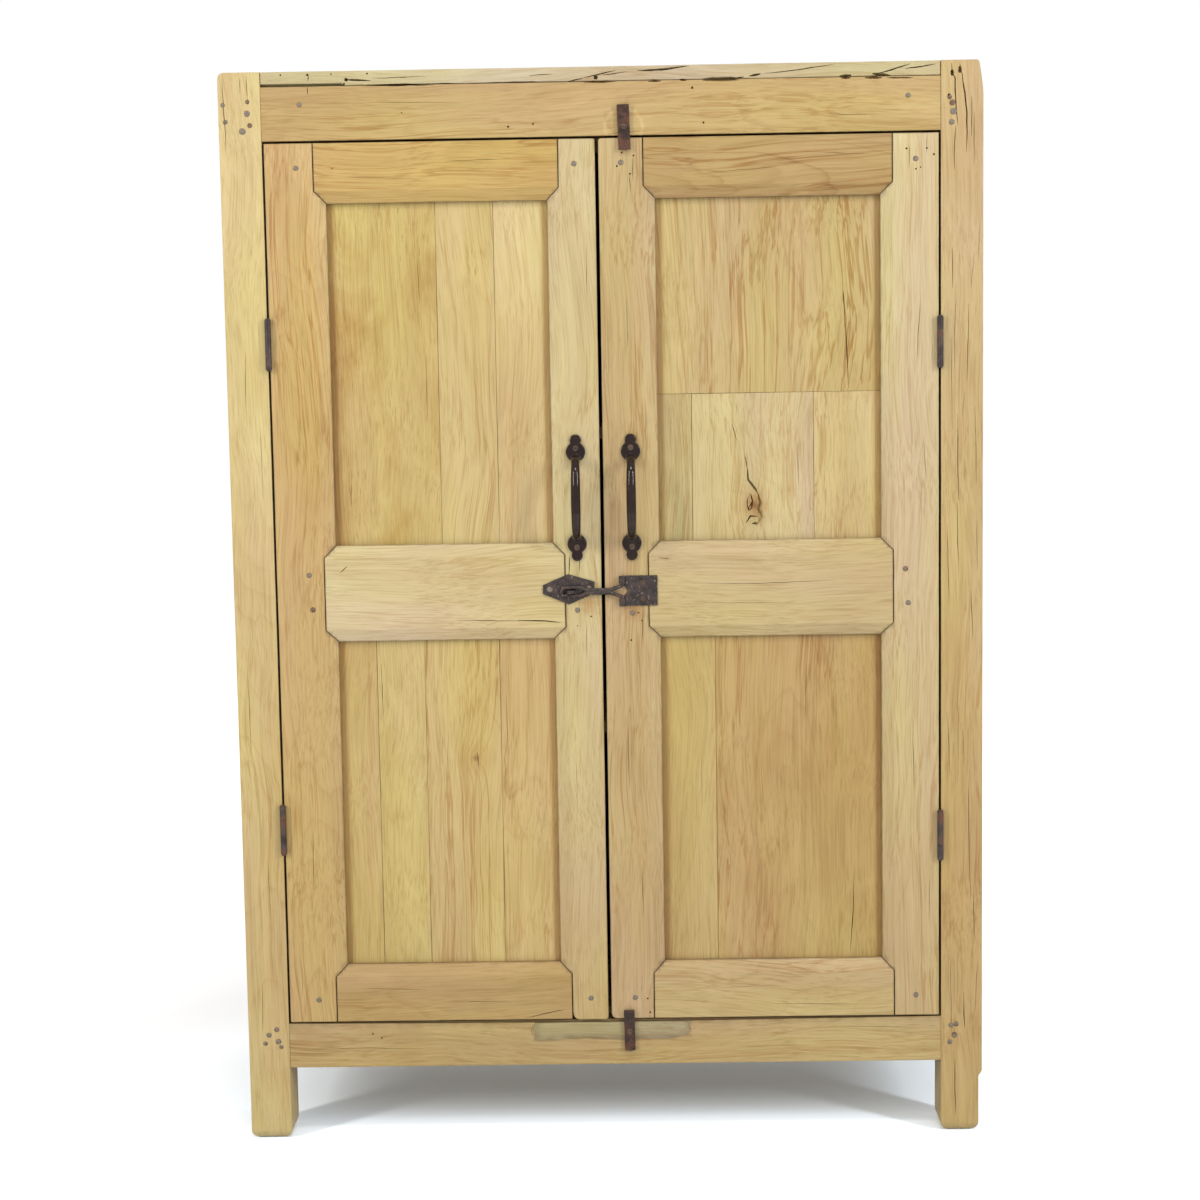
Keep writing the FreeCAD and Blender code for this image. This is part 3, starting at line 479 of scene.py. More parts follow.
# ---- materials -------------------------------------------------------------------------------------
class Shader:
    """A node tree that is written as expressions."""

    def __init__(self, name):
        self.material = bpy.data.materials.new(name)
        self.material.use_nodes = True
        self.tree = self.material.node_tree
        self.tree.nodes.clear()
        self.out = self.tree.nodes.new("ShaderNodeOutputMaterial")
        self.surface = self.tree.nodes.new("ShaderNodeBsdfPrincipled")
        self.tree.links.new(self.surface.outputs[0], self.out.inputs[0])

    def node(self, kind, **values):
        made = self.tree.nodes.new("ShaderNode" + kind)
        for key, value in values.items():
            setattr(made, key, value)
        return made

    def put(self, socket, value):
        if isinstance(value, bpy.types.NodeSocket):
            self.tree.links.new(value, socket)
        elif isinstance(value, tuple) and len(value) == 3 and socket.type == "RGBA":
            socket.default_value = (*value, 1)
        else:
            socket.default_value = value

    def attribute(self, name, output="Fac"):
        return self.node("Attribute", attribute_name=name).outputs[output]

    def where(self):
        return self.node("TexCoord").outputs["Object"]

    def vector(self, operation, a, b):
        made = self.node("VectorMath", operation=operation)
        self.put(made.inputs[0], a)
        self.put(made.inputs[1], b)
        return made.outputs["Value"] if operation in ("LENGTH", "DISTANCE") else made.outputs["Vector"]

    def sums(self, operation, a, b=0.0, c=0.0, clamp=False):
        made = self.node("Math", operation=operation, use_clamp=clamp)
        for socket, value in zip(made.inputs, (a, b, c)):
            self.put(socket, value)
        return made.outputs[0]

    def noise(self, at, scale, detail=2.0, roughness=0.5, distortion=0.0, output="Fac"):
        made = self.node("TexNoise", noise_dimensions="3D")
        for key, value in (("Vector", at), ("Scale", scale), ("Detail", detail),
                           ("Roughness", roughness), ("Distortion", distortion)):
            self.put(made.inputs[key], value)
        return made.outputs[output]

    def turned(self, at, rotation=(0, 0, 0), scale=(1, 1, 1)):
        made = self.node("Mapping")
        self.put(made.inputs["Vector"], at)
        made.inputs["Rotation"].default_value = rotation
        made.inputs["Scale"].default_value = scale
        return made.outputs[0]

    def between(self, value, low, high, to_low=0.0, to_high=1.0):
        made = self.node("MapRange", clamp=True)
        for socket, v in zip(made.inputs, (value, low, high, to_low, to_high)):
            self.put(socket, v)
        return made.outputs[0]

    def mix(self, share, a, b, mode="MIX"):
        made = self.node("Mix", data_type="RGBA", blend_type=mode, clamp_factor=True)
        self.put(made.inputs[0], share)
        self.put(made.inputs[6], a)
        self.put(made.inputs[7], b)
        return made.outputs[2]

    def parts(self, vector):
        made = self.node("SeparateXYZ")
        self.put(made.inputs[0], vector)
        return made.outputs

    def joined(self, x, y, z):
        made = self.node("CombineXYZ")
        for socket, value in zip(made.inputs, (x, y, z)):
            self.put(socket, value)
        return made.outputs[0]

    def scaled(self, vector, factor):
        made = self.node("VectorMath", operation="SCALE")
        self.put(made.inputs[0], vector)
        self.put(made.inputs["Scale"], factor)
        return made.outputs[0]

    def power(self, base, exponent):
        return self.sums("POWER", base, exponent)

    def times(self, a, b):
        return self.sums("MULTIPLY", a, b)

    def grained(self, grain, across, along, detail=2, roughness=0.5, distortion=0.0, output="Fac"):
        """Noise that is drawn out along the grain, from how fine it is across and along it."""
        drawn = self.turned(grain, scale=(across, across, along))
        return self.noise(drawn, 1.0, detail, roughness, distortion, output)

    def drift(self, grain, across, along, detail, reach):
        """A vector that wanders by up to half of reach."""
        wandering = self.grained(grain, across, along, detail, output="Color")
        return self.scaled(self.vector("SUBTRACT", wandering, (0.5, 0.5, 0.5)), reach)

    def to_spot(self, name):
        """The distance from the spot that an attribute holds."""
        return self.vector("DISTANCE", self.where(), self.attribute(name, "Vector"))

    def tinted(self, colour, factor):
        return self.vector("MULTIPLY", colour, factor)

    def stained(self, colour, share, factor):
        """The colour, multiplied by factor where share is 1."""
        return self.mix(share, colour, self.tinted(colour, factor))

    def bump(self, height, distance, strength=1.0, normal=None):
        made = self.node("Bump")
        self.put(made.inputs["Height"], height)
        made.inputs["Distance"].default_value = distance
        made.inputs["Strength"].default_value = strength
        if normal:
            self.put(made.inputs["Normal"], normal)
        return made.outputs[0]

    def set(self, **values):
        for key, value in values.items():
            self.put(self.surface.inputs[key.replace("_", " ")], value)
        return self.material


def srgb(r, g, b):
    """A colour from its 0 to 255 display values."""
    return tuple(((c / 255 + 0.055) / 1.055) ** 2.4 if c > 10 else c / 3294 for c in (r, g, b))


GRAIN = {"x": (0, math.radians(-90), 0), "y": (math.radians(90), 0, 0), "z": (0, 0, 0)}


def growth_rings(s, axis, grain, swirl):
    """The sharp late edges of the rings round a leaning, wandering pith."""
    from_pith = s.vector("SUBTRACT", s.where(), s.attribute("pith", "Vector"))
    along = s.parts(from_pith)["xyz".index(axis)]
    leaning = s.vector("ADD", from_pith, s.scaled(s.attribute("lean", "Vector"), along))
    leaning = s.turned(leaning, rotation=GRAIN[axis])
    across = s.vector("MULTIPLY", s.vector("ADD", leaning, s.drift(grain, 8, 2.2, 3, 0.05)), (1, 1, 0))
    reach = s.sums("ADD", s.vector("LENGTH", across, (0, 0, 0)), swirl)
    uneven = s.noise(s.joined(s.times(reach, 34.0), 0.0, 0.0), 1.0, 2)
    wobble = s.sums("MULTIPLY_ADD", uneven, 5.0, s.times(s.grained(grain, 70, 5), 0.7))
    ring = s.sums("FRACT", s.sums("MULTIPLY_ADD", reach, RINGS, wobble))
    ring = s.times(s.power(ring, 5.0), s.between(ring, 1.0, 0.92))
    strong = s.noise(s.joined(0.0, s.times(reach, 90.0), 0.0), 1.0, 1)
    ring = s.times(ring, s.between(strong, 0.38, 0.62, 0.15, 1.15))
    return s.times(ring, s.between(s.grained(grain, 6, 1.5), 0.35, 0.65, 0.25, 1.0))


def along_the_grain(s, grain, swirl):
    """The streaks, the long lines of growth, the fibre and the pores, which follow a bending grain."""
    bend = s.drift(grain, 4.5, 3.2, 1, 0.055)
    bent = s.vector("ADD", grain, s.vector("MULTIPLY", bend, (1, 1, 0)))
    streak = s.grained(bent, 34, 1.8, 4, 0.6, 0.4)
    wavy = s.vector("ADD", bent, s.scaled(s.grained(grain, 14, 9, 1, output="Color"), 0.004))
    coarse = s.sums("SUBTRACT", s.grained(wavy, 190, 3, 3, 0.6), 0.5)
    lined = s.between(s.grained(grain, 16, 4), 0.36, 0.62)
    fibre = s.sums("MULTIPLY_ADD", coarse, s.times(lined, 0.7), s.grained(wavy, 520, 9, 2, 0.6))
    bowed = s.vector("ADD", wavy, s.joined(s.times(swirl, 0.8), 0.0, 0.0))
    crossing = s.sums("ABSOLUTE", s.sums("SUBTRACT", s.grained(bowed, 42, 0.4, 4, 0.66), 0.5))
    clear = s.between(s.grained(grain, 8, 1.6), 0.40, 0.62, 0.15, 1.0)
    line = s.times(s.between(crossing, 0.026, 0.004), clear)
    pore = s.between(s.grained(wavy, 560, 36, 2, 0.6), 0.60, 0.70)
    pore = s.times(pore, s.between(s.grained(grain, 20, 5, 3), 0.46, 0.64, 0.12, 1.0))
    return streak, line, fibre, pore


def marked(s, colour, at, knot, fibre):
    """The colour with a knot, painted shade (with some gathered finish and dirt) along a panel's sides, a
    rust stain and the arcs of a turn button.
    """
    core = s.between(s.sums("ADD", knot, s.times(fibre, 0.004)), 0.008, 0.003, 0.0, 0.7)
    colour = s.mix(core, colour, srgb(142, 96, 50))
    colour = s.stained(colour, s.between(knot, 0.03, 0.006, 0.0, 0.5), (0.82, 0.68, 0.48))
    # painted shade along the panel's sides, in an orange-brown partly standing for the finish and dirt in
    # the recess
    colour = s.stained(colour, s.times(s.attribute("shade"), 0.8), (0.72, 0.56, 0.36))
    ragged = s.noise(at, 130.0, 3)
    rust = s.sums("MULTIPLY_ADD", ragged, 0.018, s.to_spot("rust"))
    colour = s.stained(colour, s.between(rust, 0.028, 0.011, 0.0, 0.75), (0.74, 0.52, 0.36))
    arc = s.sums("ABSOLUTE", s.sums("SUBTRACT", s.to_spot("rubbed"), RUBBED_R))
    arc = s.between(s.sums("MULTIPLY_ADD", ragged, 0.006, arc), 0.0062, 0.0035, 0.0, 0.7)
    return s.stained(colour, arc, (1.22, 1.26, 1.36))


def wood(name, axis):
    """Scrubbed teak with its grain along an axis. The boards' attributes say what each one is like."""
    s = Shader(name)
    at = s.vector("ADD", s.where(), s.attribute("shift", "Vector"))
    grain = s.turned(at, rotation=GRAIN[axis])
    rings, pores, patches = s.parts(s.attribute("mood", "Vector"))
    knot = s.to_spot("knot")
    swirl = s.times(s.power(math.e, s.times(knot, -38.0)), 0.03)
    ring = growth_rings(s, axis, grain, swirl)
    streak, line, fibre, pore = along_the_grain(s, grain, swirl)

    colour = s.attribute("colour", "Vector")
    light, dark = s.tinted(colour, (1.06, 1.055, 1.05)), s.tinted(colour, (0.93, 0.91, 0.87))
    colour = s.mix(s.between(streak, 0.28, 0.72), light, dark)
    colour = s.stained(colour, s.between(s.grained(grain, 7, 1.9, 3), 0.44, 0.68), (0.90, 0.84, 0.73))
    yellow, pink = s.tinted(colour, (1.02, 1.03, 0.91)), s.tinted(colour, (1.0, 0.95, 1.05))
    colour = s.mix(s.between(s.grained(grain, 12, 2.6), 0.35, 0.65), yellow, pink)
    colour = s.stained(colour, s.times(ring, rings), (0.68, 0.53, 0.36))
    colour = s.stained(colour, s.times(line, s.sums("MULTIPLY_ADD", rings, 1.1, 0.3)), (0.74, 0.57, 0.35))
    colour = s.stained(colour, s.between(fibre, 0.50, 0.72, 0.0, 0.8), (0.80, 0.73, 0.60))
    colour = s.stained(colour, s.between(fibre, 0.48, 0.30, 0.0, 0.6), (1.10, 1.10, 1.12))
    blotch = s.between(s.grained(grain, 13, 6, 4, 0.6, 0.5), 0.50, 0.72)
    colour = s.stained(colour, s.times(blotch, patches), (0.80, 0.66, 0.45))
    colour = s.stained(colour, s.times(pore, s.times(pores, 0.85)), (0.46, 0.34, 0.22))
    bloom = s.between(s.grained(grain, 24, 14, 3), 0.58, 0.76, 0.0, 0.45)
    colour = s.stained(colour, bloom, (1.14, 1.17, 1.26))
    colour = s.tinted(marked(s, colour, at, knot, fibre), STUDIO_LIGHT)
    stain = s.between(s.noise(at, 60.0, 3), 0.30, 0.70, 0.45, 1.0)
    grime = s.between(s.times(s.attribute("dirt"), stain), 0.15, 1.0, 0.0, 0.65)
    colour = s.mix(grime, colour, srgb(64, 44, 24))

    height = s.sums("SUBTRACT", s.times(fibre, 0.6), s.times(pore, 0.6))
    height = s.sums("SUBTRACT", height, s.times(ring, 0.2))
    relief = s.bump(height, 0.30 * MM, 0.7)
    relief = s.bump(s.grained(grain, 40, 14), 0.8 * MM, 0.5, relief)
    rough = s.between(fibre, 0.3, 0.7, 0.48, 0.64)
    return s.set(Base_Color=colour, Roughness=rough, Normal=relief, Specular_IOR_Level=0.32)


def iron(name, black, worn, rust, rusty=0.3, gloss=(0.28, 0.5), metallic=0.75, bumpy=0.35, scratched=0.0,
         specular=0.25):
    """Dark forged or cast iron: waxed black, rubbed bright on its high spots, rust in its hollows."""
    s = Shader(name)
    at = s.vector("ADD", s.where(), (0.7, 0.2, 0.4))
    pitted = s.noise(at, 420.0, 4, 0.65)
    cloudy = s.noise(at, 70.0, 4, 0.6)
    speckle = s.noise(at, 900.0, 2, 0.5)
    rusted = s.sums("ADD", cloudy, s.times(speckle, 0.25))
    rusted = s.between(rusted, 0.78 - rusty * 0.4, 0.92 - rusty * 0.4)
    colour = s.mix(s.between(cloudy, 0.35, 0.7), black, worn)
    colour = s.mix(rusted, colour, rust)
    rough = s.sums("ADD", s.between(pitted, 0.3, 0.7, *gloss), s.times(rusted, 0.3))
    metal = s.between(rusted, 0.0, 1.0, metallic, 0.0)
    scratch = s.noise(s.turned(at, rotation=(0.3, 0.9, 0.5), scale=(500, 90, 260)), 1.0, 3, 0.6)
    colour = s.mix(s.between(scratch, 0.62, 0.72, 0.0, scratched), colour, srgb(158, 146, 128))
    relief = s.bump(pitted, bumpy * MM, 0.6)
    relief = s.bump(cloudy, 1.2 * bumpy * MM, 0.5, relief)
    return s.set(Base_Color=colour, Roughness=rough, Metallic=metal, Normal=relief,
                 Specular_IOR_Level=specular)


WOODS = {}


def teak(slot, axis):
    """The wood of a slot with its grain along an axis, made once."""
    if (slot, axis) not in WOODS:
        WOODS[slot, axis] = wood(f"{slot}_{axis}", axis)
    return WOODS[slot, axis]


def wooden(name, boards, nodes, axis):
    as_piece(name, boards, teak(SLOT_OF[nodes[0]], axis), nodes)


# ---- carcass --------------------------------------------------------------------------------------
FOOT_R = 13 * MM
CHIP_H, CHIP_D = 76 * MM, 4.5 * MM  # the wood that is gone beside the front right post's foot
SLOPE_H, SLOPE_D = 42 * MM, 5.5 * MM  # how far down its top is worn away, and how deep
KNOTS = {  # the middle of the curl or knot in a board
    "left_door_hanging_stile": (-0.385, -0.15, 1.21),
    "right_door_top_rail": (0.385, -0.15, 1.285),
    "right_door_upper_panel": (0.193, -0.15, 0.842),
    "left_door_lower_panel": (-0.178, -0.15, 0.512),
}
RUST = {  # the middle of the stain under a piece of iron
    "left_door_meeting_stile": (-0.0245, FRONT, 0.7165),
    "right_door_meeting_stile": (0.035, FRONT, 0.7085),
}


def post_shape(low, high, outer, old):
    """A warp that rounds a post's foot all round, and its top on the outer side. An old post has also
    lost wood on that side, beside its foot and towards its top."""
    middle = (low + high) / 2
    top_r = (8 if outer < 0 else 3) * MM

    def warp(p):
        if p.z < FOOT_R:
            inset = FOOT_R - math.sqrt(max(0.0, FOOT_R ** 2 - (FOOT_R - p.z) ** 2))
            p.x += math.copysign(inset, middle.x - p.x)
            p.y += math.copysign(inset, middle.y - p.y)
        rise = p.z - (high.z - top_r)
        if rise > 0 and (p.x - middle.x) * outer > 0:
            p.x -= outer * (top_r - math.sqrt(max(0.0, top_r ** 2 - rise ** 2)))
        if old and p.x > middle.x:
            p.x -= CHIP_D if p.z < CHIP_H else 0.0
            p.x -= SLOPE_D * max(0.0, (p.z - high.z + SLOPE_H) / SLOPE_H) ** 1.3
        return p

    return warp


def posts():
    for node in ("front_left_post", "front_right_post", "rear_left_post", "rear_right_post"):
        low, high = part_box(node)
        outer = -1 if low.x < 0 else 1
        old = node == "front_right_post"
        cuts = [h * MM for h in (0.3, 1, 2, 3.5, 5.5, 8, 10.5, 13)]
        cuts += [high.z - h * MM for h in (1, 2, 4, 6, 8, 20, 32, 42)]
        cuts += [CHIP_H, CHIP_H + 7 * MM] if old else []
        cutters = nail_rings("post_nails") if node.startswith("front") else []
        if old:
            cutters += right_post_cracks()
        elif node == "front_left_post":
            cutters += left_post_cracks()
        look, foot, *_ = LOOKS.get(node, PLAIN_LOOK)
        made = box_board(low, high, "front", 11 + len(node) + outer, "z", look, wear=2.0 * MM, foot=foot,
                         warp=post_shape(low, high, outer, old), joints=0.35, more_v=cuts,
                         more_w=[low.y + 4 * MM, (low.y + high.y) / 2], cutters=cutters)
        wooden(f"{node}_wood", [made], [node], "z")


def right_post_cracks():
    """The many drying cracks of the front right post, which run down from its top."""
    rng = random.Random(5)
    made = splits([
        (1.3, (448.4, 1402), (449.5, 1391), (453.2, 1383), (453.2, 1368), (454.7, 1341), (456.7, 1323.8)),
        (0.8, (453.7, 1323), (451.8, 1295), (452.5, 1268)),
        (1.5, (458.6, 1402), (462, 1387), (465.4, 1364), (467.9, 1339), (468.4, 1317), (467.5, 1290)),
        (1.0, (455, 20), (453, 60), (453.5, 98)), (0.7, (474, 1310), (474, 1360)),
    ], 8)
    for x, z, stretch in ((449.3, 1390.1, 1.9), (459.1, 1393.7, 2.0), (445.5, 1360.5, 1.6)):
        made.append(pit(x, z, 2.3, 8, int(x), stretch))
    for k in range(26):
        x, z = 435 + rng.uniform(9, 48), rng.uniform(130, 1300)
        length, sway = rng.uniform(25, 120), rng.uniform(-3, 3)
        made += splits([(rng.uniform(0.35, 0.9), (x, z), (x + sway, z + length))], 4)
    return made


def left_post_cracks():
    return splits([
        (1.1, (-483, 1400), (-482, 1360), (-480.5, 1310)), (0.8, (-452, 1402), (-450.5, 1370)),
        (0.7, (-460, 1398), (-460.5, 1378)), (0.6, (-473, 520), (-475, 640)),
        (0.5, (-447, 860), (-448, 960)), (0.5, (-466, 980), (-464, 1050)), (0.5, (-455, 300), (-456, 380)),
        (0.6, (-470, 150), (-469, 215)),
    ])


def front_rails():
    low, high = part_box("front_top_rail")
    low.x, high.x = -POST_IN, POST_IN
    cutters = pits([
        (-118, 1332, 1.4), (-86, 1335, 1.3), (132, 1333, 1.4), (118, 1377, 1.6), (-254, 1352, 0.9),
    ])
    cutters += nail_rings("post_nails") + splits([
        (0.9, (-374, 1386), (-373.5, 1377)), (0.5, (300, 1340), (345, 1339)),
        (0.5, (-300, 1366), (-180, 1364)), (2.2, (62, 1386), (78, 1386)), (1.8, (103, 1386), (111, 1386)),
        (3.4, (131, 1386), (178, 1386)), (2.8, (308, 1386), (320, 1386)), (3.2, (338, 1385.4), (360, 1385)),
        (1.8, (366, 1385), (400, 1384.6)), (1.6, (-20, 1386.2), (20, 1386)),
        (1.5, (-300, 1386.4), (-210, 1386.2)),
    ], 6)
    made = box_board(low, high, "front", 41, "x", LOOKS["front_top_rail"][0], wear=0.8 * MM, joints=0.8,
                     more_w=[low.y + 4 * MM], cutters=cutters, worn_by="top_turn_button")
    wooden("front_top_rail_wood", [made], ["front_top_rail"], "x")

    low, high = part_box("front_bottom_rail")
    low.x, high.x = -POST_IN, POST_IN
    patch_low, patch_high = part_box("bottom_rail_patch")
    ragged = [
        (-106, 155.5), (-108, 148), (-106, 139), (-107, 132.5), (-98, 130.4), (-78, 131.2), (-61, 133.2),
        (-40, 134.4), (-9, 132.2), (15, 131.0), (40, 132.2), (66, 131.2), (88, 134.5), (97, 137),
        (101, 143), (99.5, 149), (103, 155.5),
    ]
    ragged = [(x * MM, min(z * MM, high.z)) for x, z in ragged]
    notch = [(low.x, low.z), (high.x, low.z), (high.x, high.z)] + ragged[::-1] + [(low.x, high.z)]
    cutters = pits([(-323, 143, 1.6), (-311, 137, 1.3)], 2)
    cutters += splits([
        (1.0, (-108, 154), (-110.7, 144.7), (-107.2, 132)),
        (0.8, (-78, 131), (-61, 133.4), (-40, 134), (-9, 131.6), (15, 130.6)),
        (0.6, (100, 152), (102.6, 138)), (0.6, (-420, 122), (-330, 124), (-240, 121)),
        (0.5, (-180, 128), (-110, 127)), (0.5, (160, 118), (260, 121)), (0.6, (300, 146), (390, 144)),
    ], 3)
    look = LOOKS["front_bottom_rail"][0]
    made = [
        board(notch, "front", low.y, patch_high.y, 42, "x", look, joints=0.8, cutters=cutters),
        box_board(Vector((low.x, patch_high.y, low.z)), high, "front", 43, "x", look),
    ]
    wooden("front_bottom_rail_wood", made, ["front_bottom_rail"], "x")
    look = LOOKS["bottom_rail_patch"][0]
    patch = board(ragged, "front", patch_low.y, patch_high.y, 44, "x", look, wear=0.5 * MM)
    wooden("bottom_rail_patch_wood", [patch], ["bottom_rail_patch"], "x")


def top_edge_cracks():
    """Splits, knots and old nail holes along the front edge of the top."""
    made = splits([
        (2.4, (-325, 1394.6), (-311, 1394.1), (-293, 1392.9)), (1.2, (-372, 1402), (-373, 1394)),
        (1.6, (-312, 1387.6), (-270, 1387.9), (-152, 1387.2)),
        (1.8, (-165, 1387.6), (-100, 1387.4), (-40, 1387.2)), (1.6, (-40, 1388), (-21.7, 1391.1)),
        (1.1, (-20.7, 1391.5), (20.5, 1400.3)), (0.9, (4.8, 1394.9), (34.1, 1398.6)),
        (2.6, (48, 1399.8), (79, 1400.3), (114.2, 1404.4)), (2.0, (-12, 1387), (18, 1387)),
        (2.4, (60, 1387.2), (78, 1387)), (2.2, (102, 1387.3), (111, 1387.2)),
        (4.2, (130, 1387.6), (175, 1387.6), (184, 1389.6)), (2.8, (191, 1390), (205.5, 1392.6)),
        (1.2, (204.3, 1392.8), (222, 1394.1), (253, 1397.2), (299.8, 1403.4)),
        (3.6, (306, 1387.6), (321, 1389.2)), (3.4, (340, 1387), (357, 1387)),
        (4.2, (348, 1390.8), (371, 1387.8)), (1.4, (352.4, 1390.3), (371.8, 1394.7), (395.2, 1402.3)),
        (1.5, (389.4, 1395.9), (410.8, 1398.8), (428.3, 1401.3)), (0.8, (-290, 1396), (-220, 1397.5)),
        (0.6, (-90, 1396), (-60, 1397)),
    ], 10)
    holes = [(-408, 1402, 1.2), (-373.5, 1401.6, 1.7), (-343, 1402, 1.1), (-297, 1402, 1.2)]
    return made + pits(holes + [(-324, 1394.8, 2.6), (-326.8, 1389.6, 1.6), (-5, 1392.2, 2.9)], 9)


def top_and_inside():
    planks = []
    boxes = sorted(solid_boxes("top_boards"), key=lambda b: b[0].y)
    for k, (low, high) in enumerate(boxes):
        first = k == 0

        def warp(p, first=first, low=low):
            if first and p.y < low.y + 8 * MM and p.z < low.z + 3 * MM and p.x < -327 * MM:
                p.z += 3.0 * MM
            return p

        planks.append(box_board(low, high, "plan", 50 + k, "x", LOOKS["top_boards"][k % 3], wear=1.6 * MM,
                                warp=warp, step=GRID * 2, more_u=[-326 * MM, -330 * MM] if first else (),
                                joints=0.0, cutters=top_edge_cracks() if first else ()))
    wooden("top_boards_wood", planks, ["top_boards"], "x")

    for node, plane, axis in (("floor_boards", "plan", "x"), ("lower_shelf", "plan", "x"),
                              ("upper_shelf", "plan", "x"), ("cleats", "side", "y"),
                              ("door_stop", "front", "x"), ("back_boards", "front", "z")):
        made = []
        for k, (low, high) in enumerate(solid_boxes(node)):
            seed, look = 70 + k + len(node), INSIDE_LOOK[(k + len(node)) % 3]
            if plane == "plan":
                outline = clear_of_posts(low.x, high.x, low.y, high.y)
                made.append(board(outline, plane, low.z, high.z, seed, axis, look, step=COARSE, joints=0.3))
            else:
                made.append(box_board(low, high, plane, seed, axis, look, step=COARSE, joints=0.5))
        wooden(f"{node}_wood", made, [node], axis)


def clear_of_posts(x0, x1, y0, y1):
    """A plan outline, notched at each corner where a post stands."""
    gap = 0.4 * MM
    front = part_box("front_left_post")[1].y + gap
    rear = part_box("rear_left_post")[0].y - gap
    side = POST_IN - gap
    wide = x1 > side
    points = [(-side, y0), (side, y0)] if wide and y0 < front - MM else [(x0, y0), (x1, y0)]
    if wide and y0 < front - MM:
        points += [(side, front), (x1, front)]
    if wide and y1 > rear + MM:
        points += [(x1, rear), (side, rear), (side, y1), (-side, y1), (-side, rear), (x0, rear)]
    else:
        points += [(x1, y1), (x0, y1)]
    if wide and y0 < front - MM:
        points += [(x0, front), (-side, front)]
    return points


def sides_and_rear():
    y0, y1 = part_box("front_left_post")[1].y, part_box("rear_left_post")[0].y
    for k, hand in enumerate(("left", "right")):
        for j, part in enumerate(("top_rail", "mid_rail", "bottom_rail")):
            node = f"{hand}_side_{part}"
            low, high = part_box(node)
            low.y, high.y = y0, y1
            made = box_board(low, high, "side", 90 + 5 * k + j, "y", PLAIN_LOOK[j],
                             wear=0.8 * MM, joints=0.8)
            wooden(f"{node}_wood", [made], [node], "y")
        node = f"{hand}_side_panels"
        made = []
        for j, (low, high) in enumerate(solid_boxes(node)):
            made.append(box_board(low, high, "side", 110 + 5 * k + j, "z", PLAIN_LOOK[j % 3],
                                  wear=0.5 * MM, step=2 * GRID))
        wooden(f"{node}_wood", made, [node], "z")
    for j, part in enumerate(("rear_top_rail", "rear_bottom_rail")):
        low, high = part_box(part)
        low.x, high.x = -POST_IN, POST_IN
        made = box_board(low, high, "front", 130 + j, "x", PLAIN_LOOK[j], step=COARSE, joints=0.6)
        wooden(f"{part}_wood", [made], [part], "x")


# ---- doors -----------------------------------------------------------------------------------------
def rounded_corner(corner, before, after, radius, steps=5):
    """Points that replace an outline's corner with an arc."""
    corner, before, after = Vector(corner), Vector(before), Vector(after)
    a = corner + (before - corner).normalized() * radius
    b = corner + (after - corner).normalized() * radius
    points = []
    for i in range(steps + 1):
        t = i / steps
        points.append(tuple(a.lerp(corner, t).lerp(corner.lerp(b, t), t)))
    return points


def stile_outline(edge, shoulder, opening, z, bands, radii):
    """The front outline of a stile. bands are the panel openings' (low, high). radii are its corners':
    outer bottom, outer top, and inner bottom."""
    low, high = z
    (l0, l1), (u0, u1) = bands
    inner = [(shoulder, high), (shoulder, u1 + BEVEL_W), (opening, u1), (opening, u0),
             (shoulder, u0 - BEVEL_W), (shoulder, l1 + BEVEL_W), (opening, l1), (opening, l0),
             (shoulder, l0 - BEVEL_W)]
    inner += rounded_corner((shoulder, low), (shoulder, high), (edge, low), radii[2])
    bottom = rounded_corner((edge, low), (shoulder, low), (edge, high), radii[0])
    top = rounded_corner((edge, high), (edge, low), (shoulder, high), radii[1])
    return bottom + top + inner


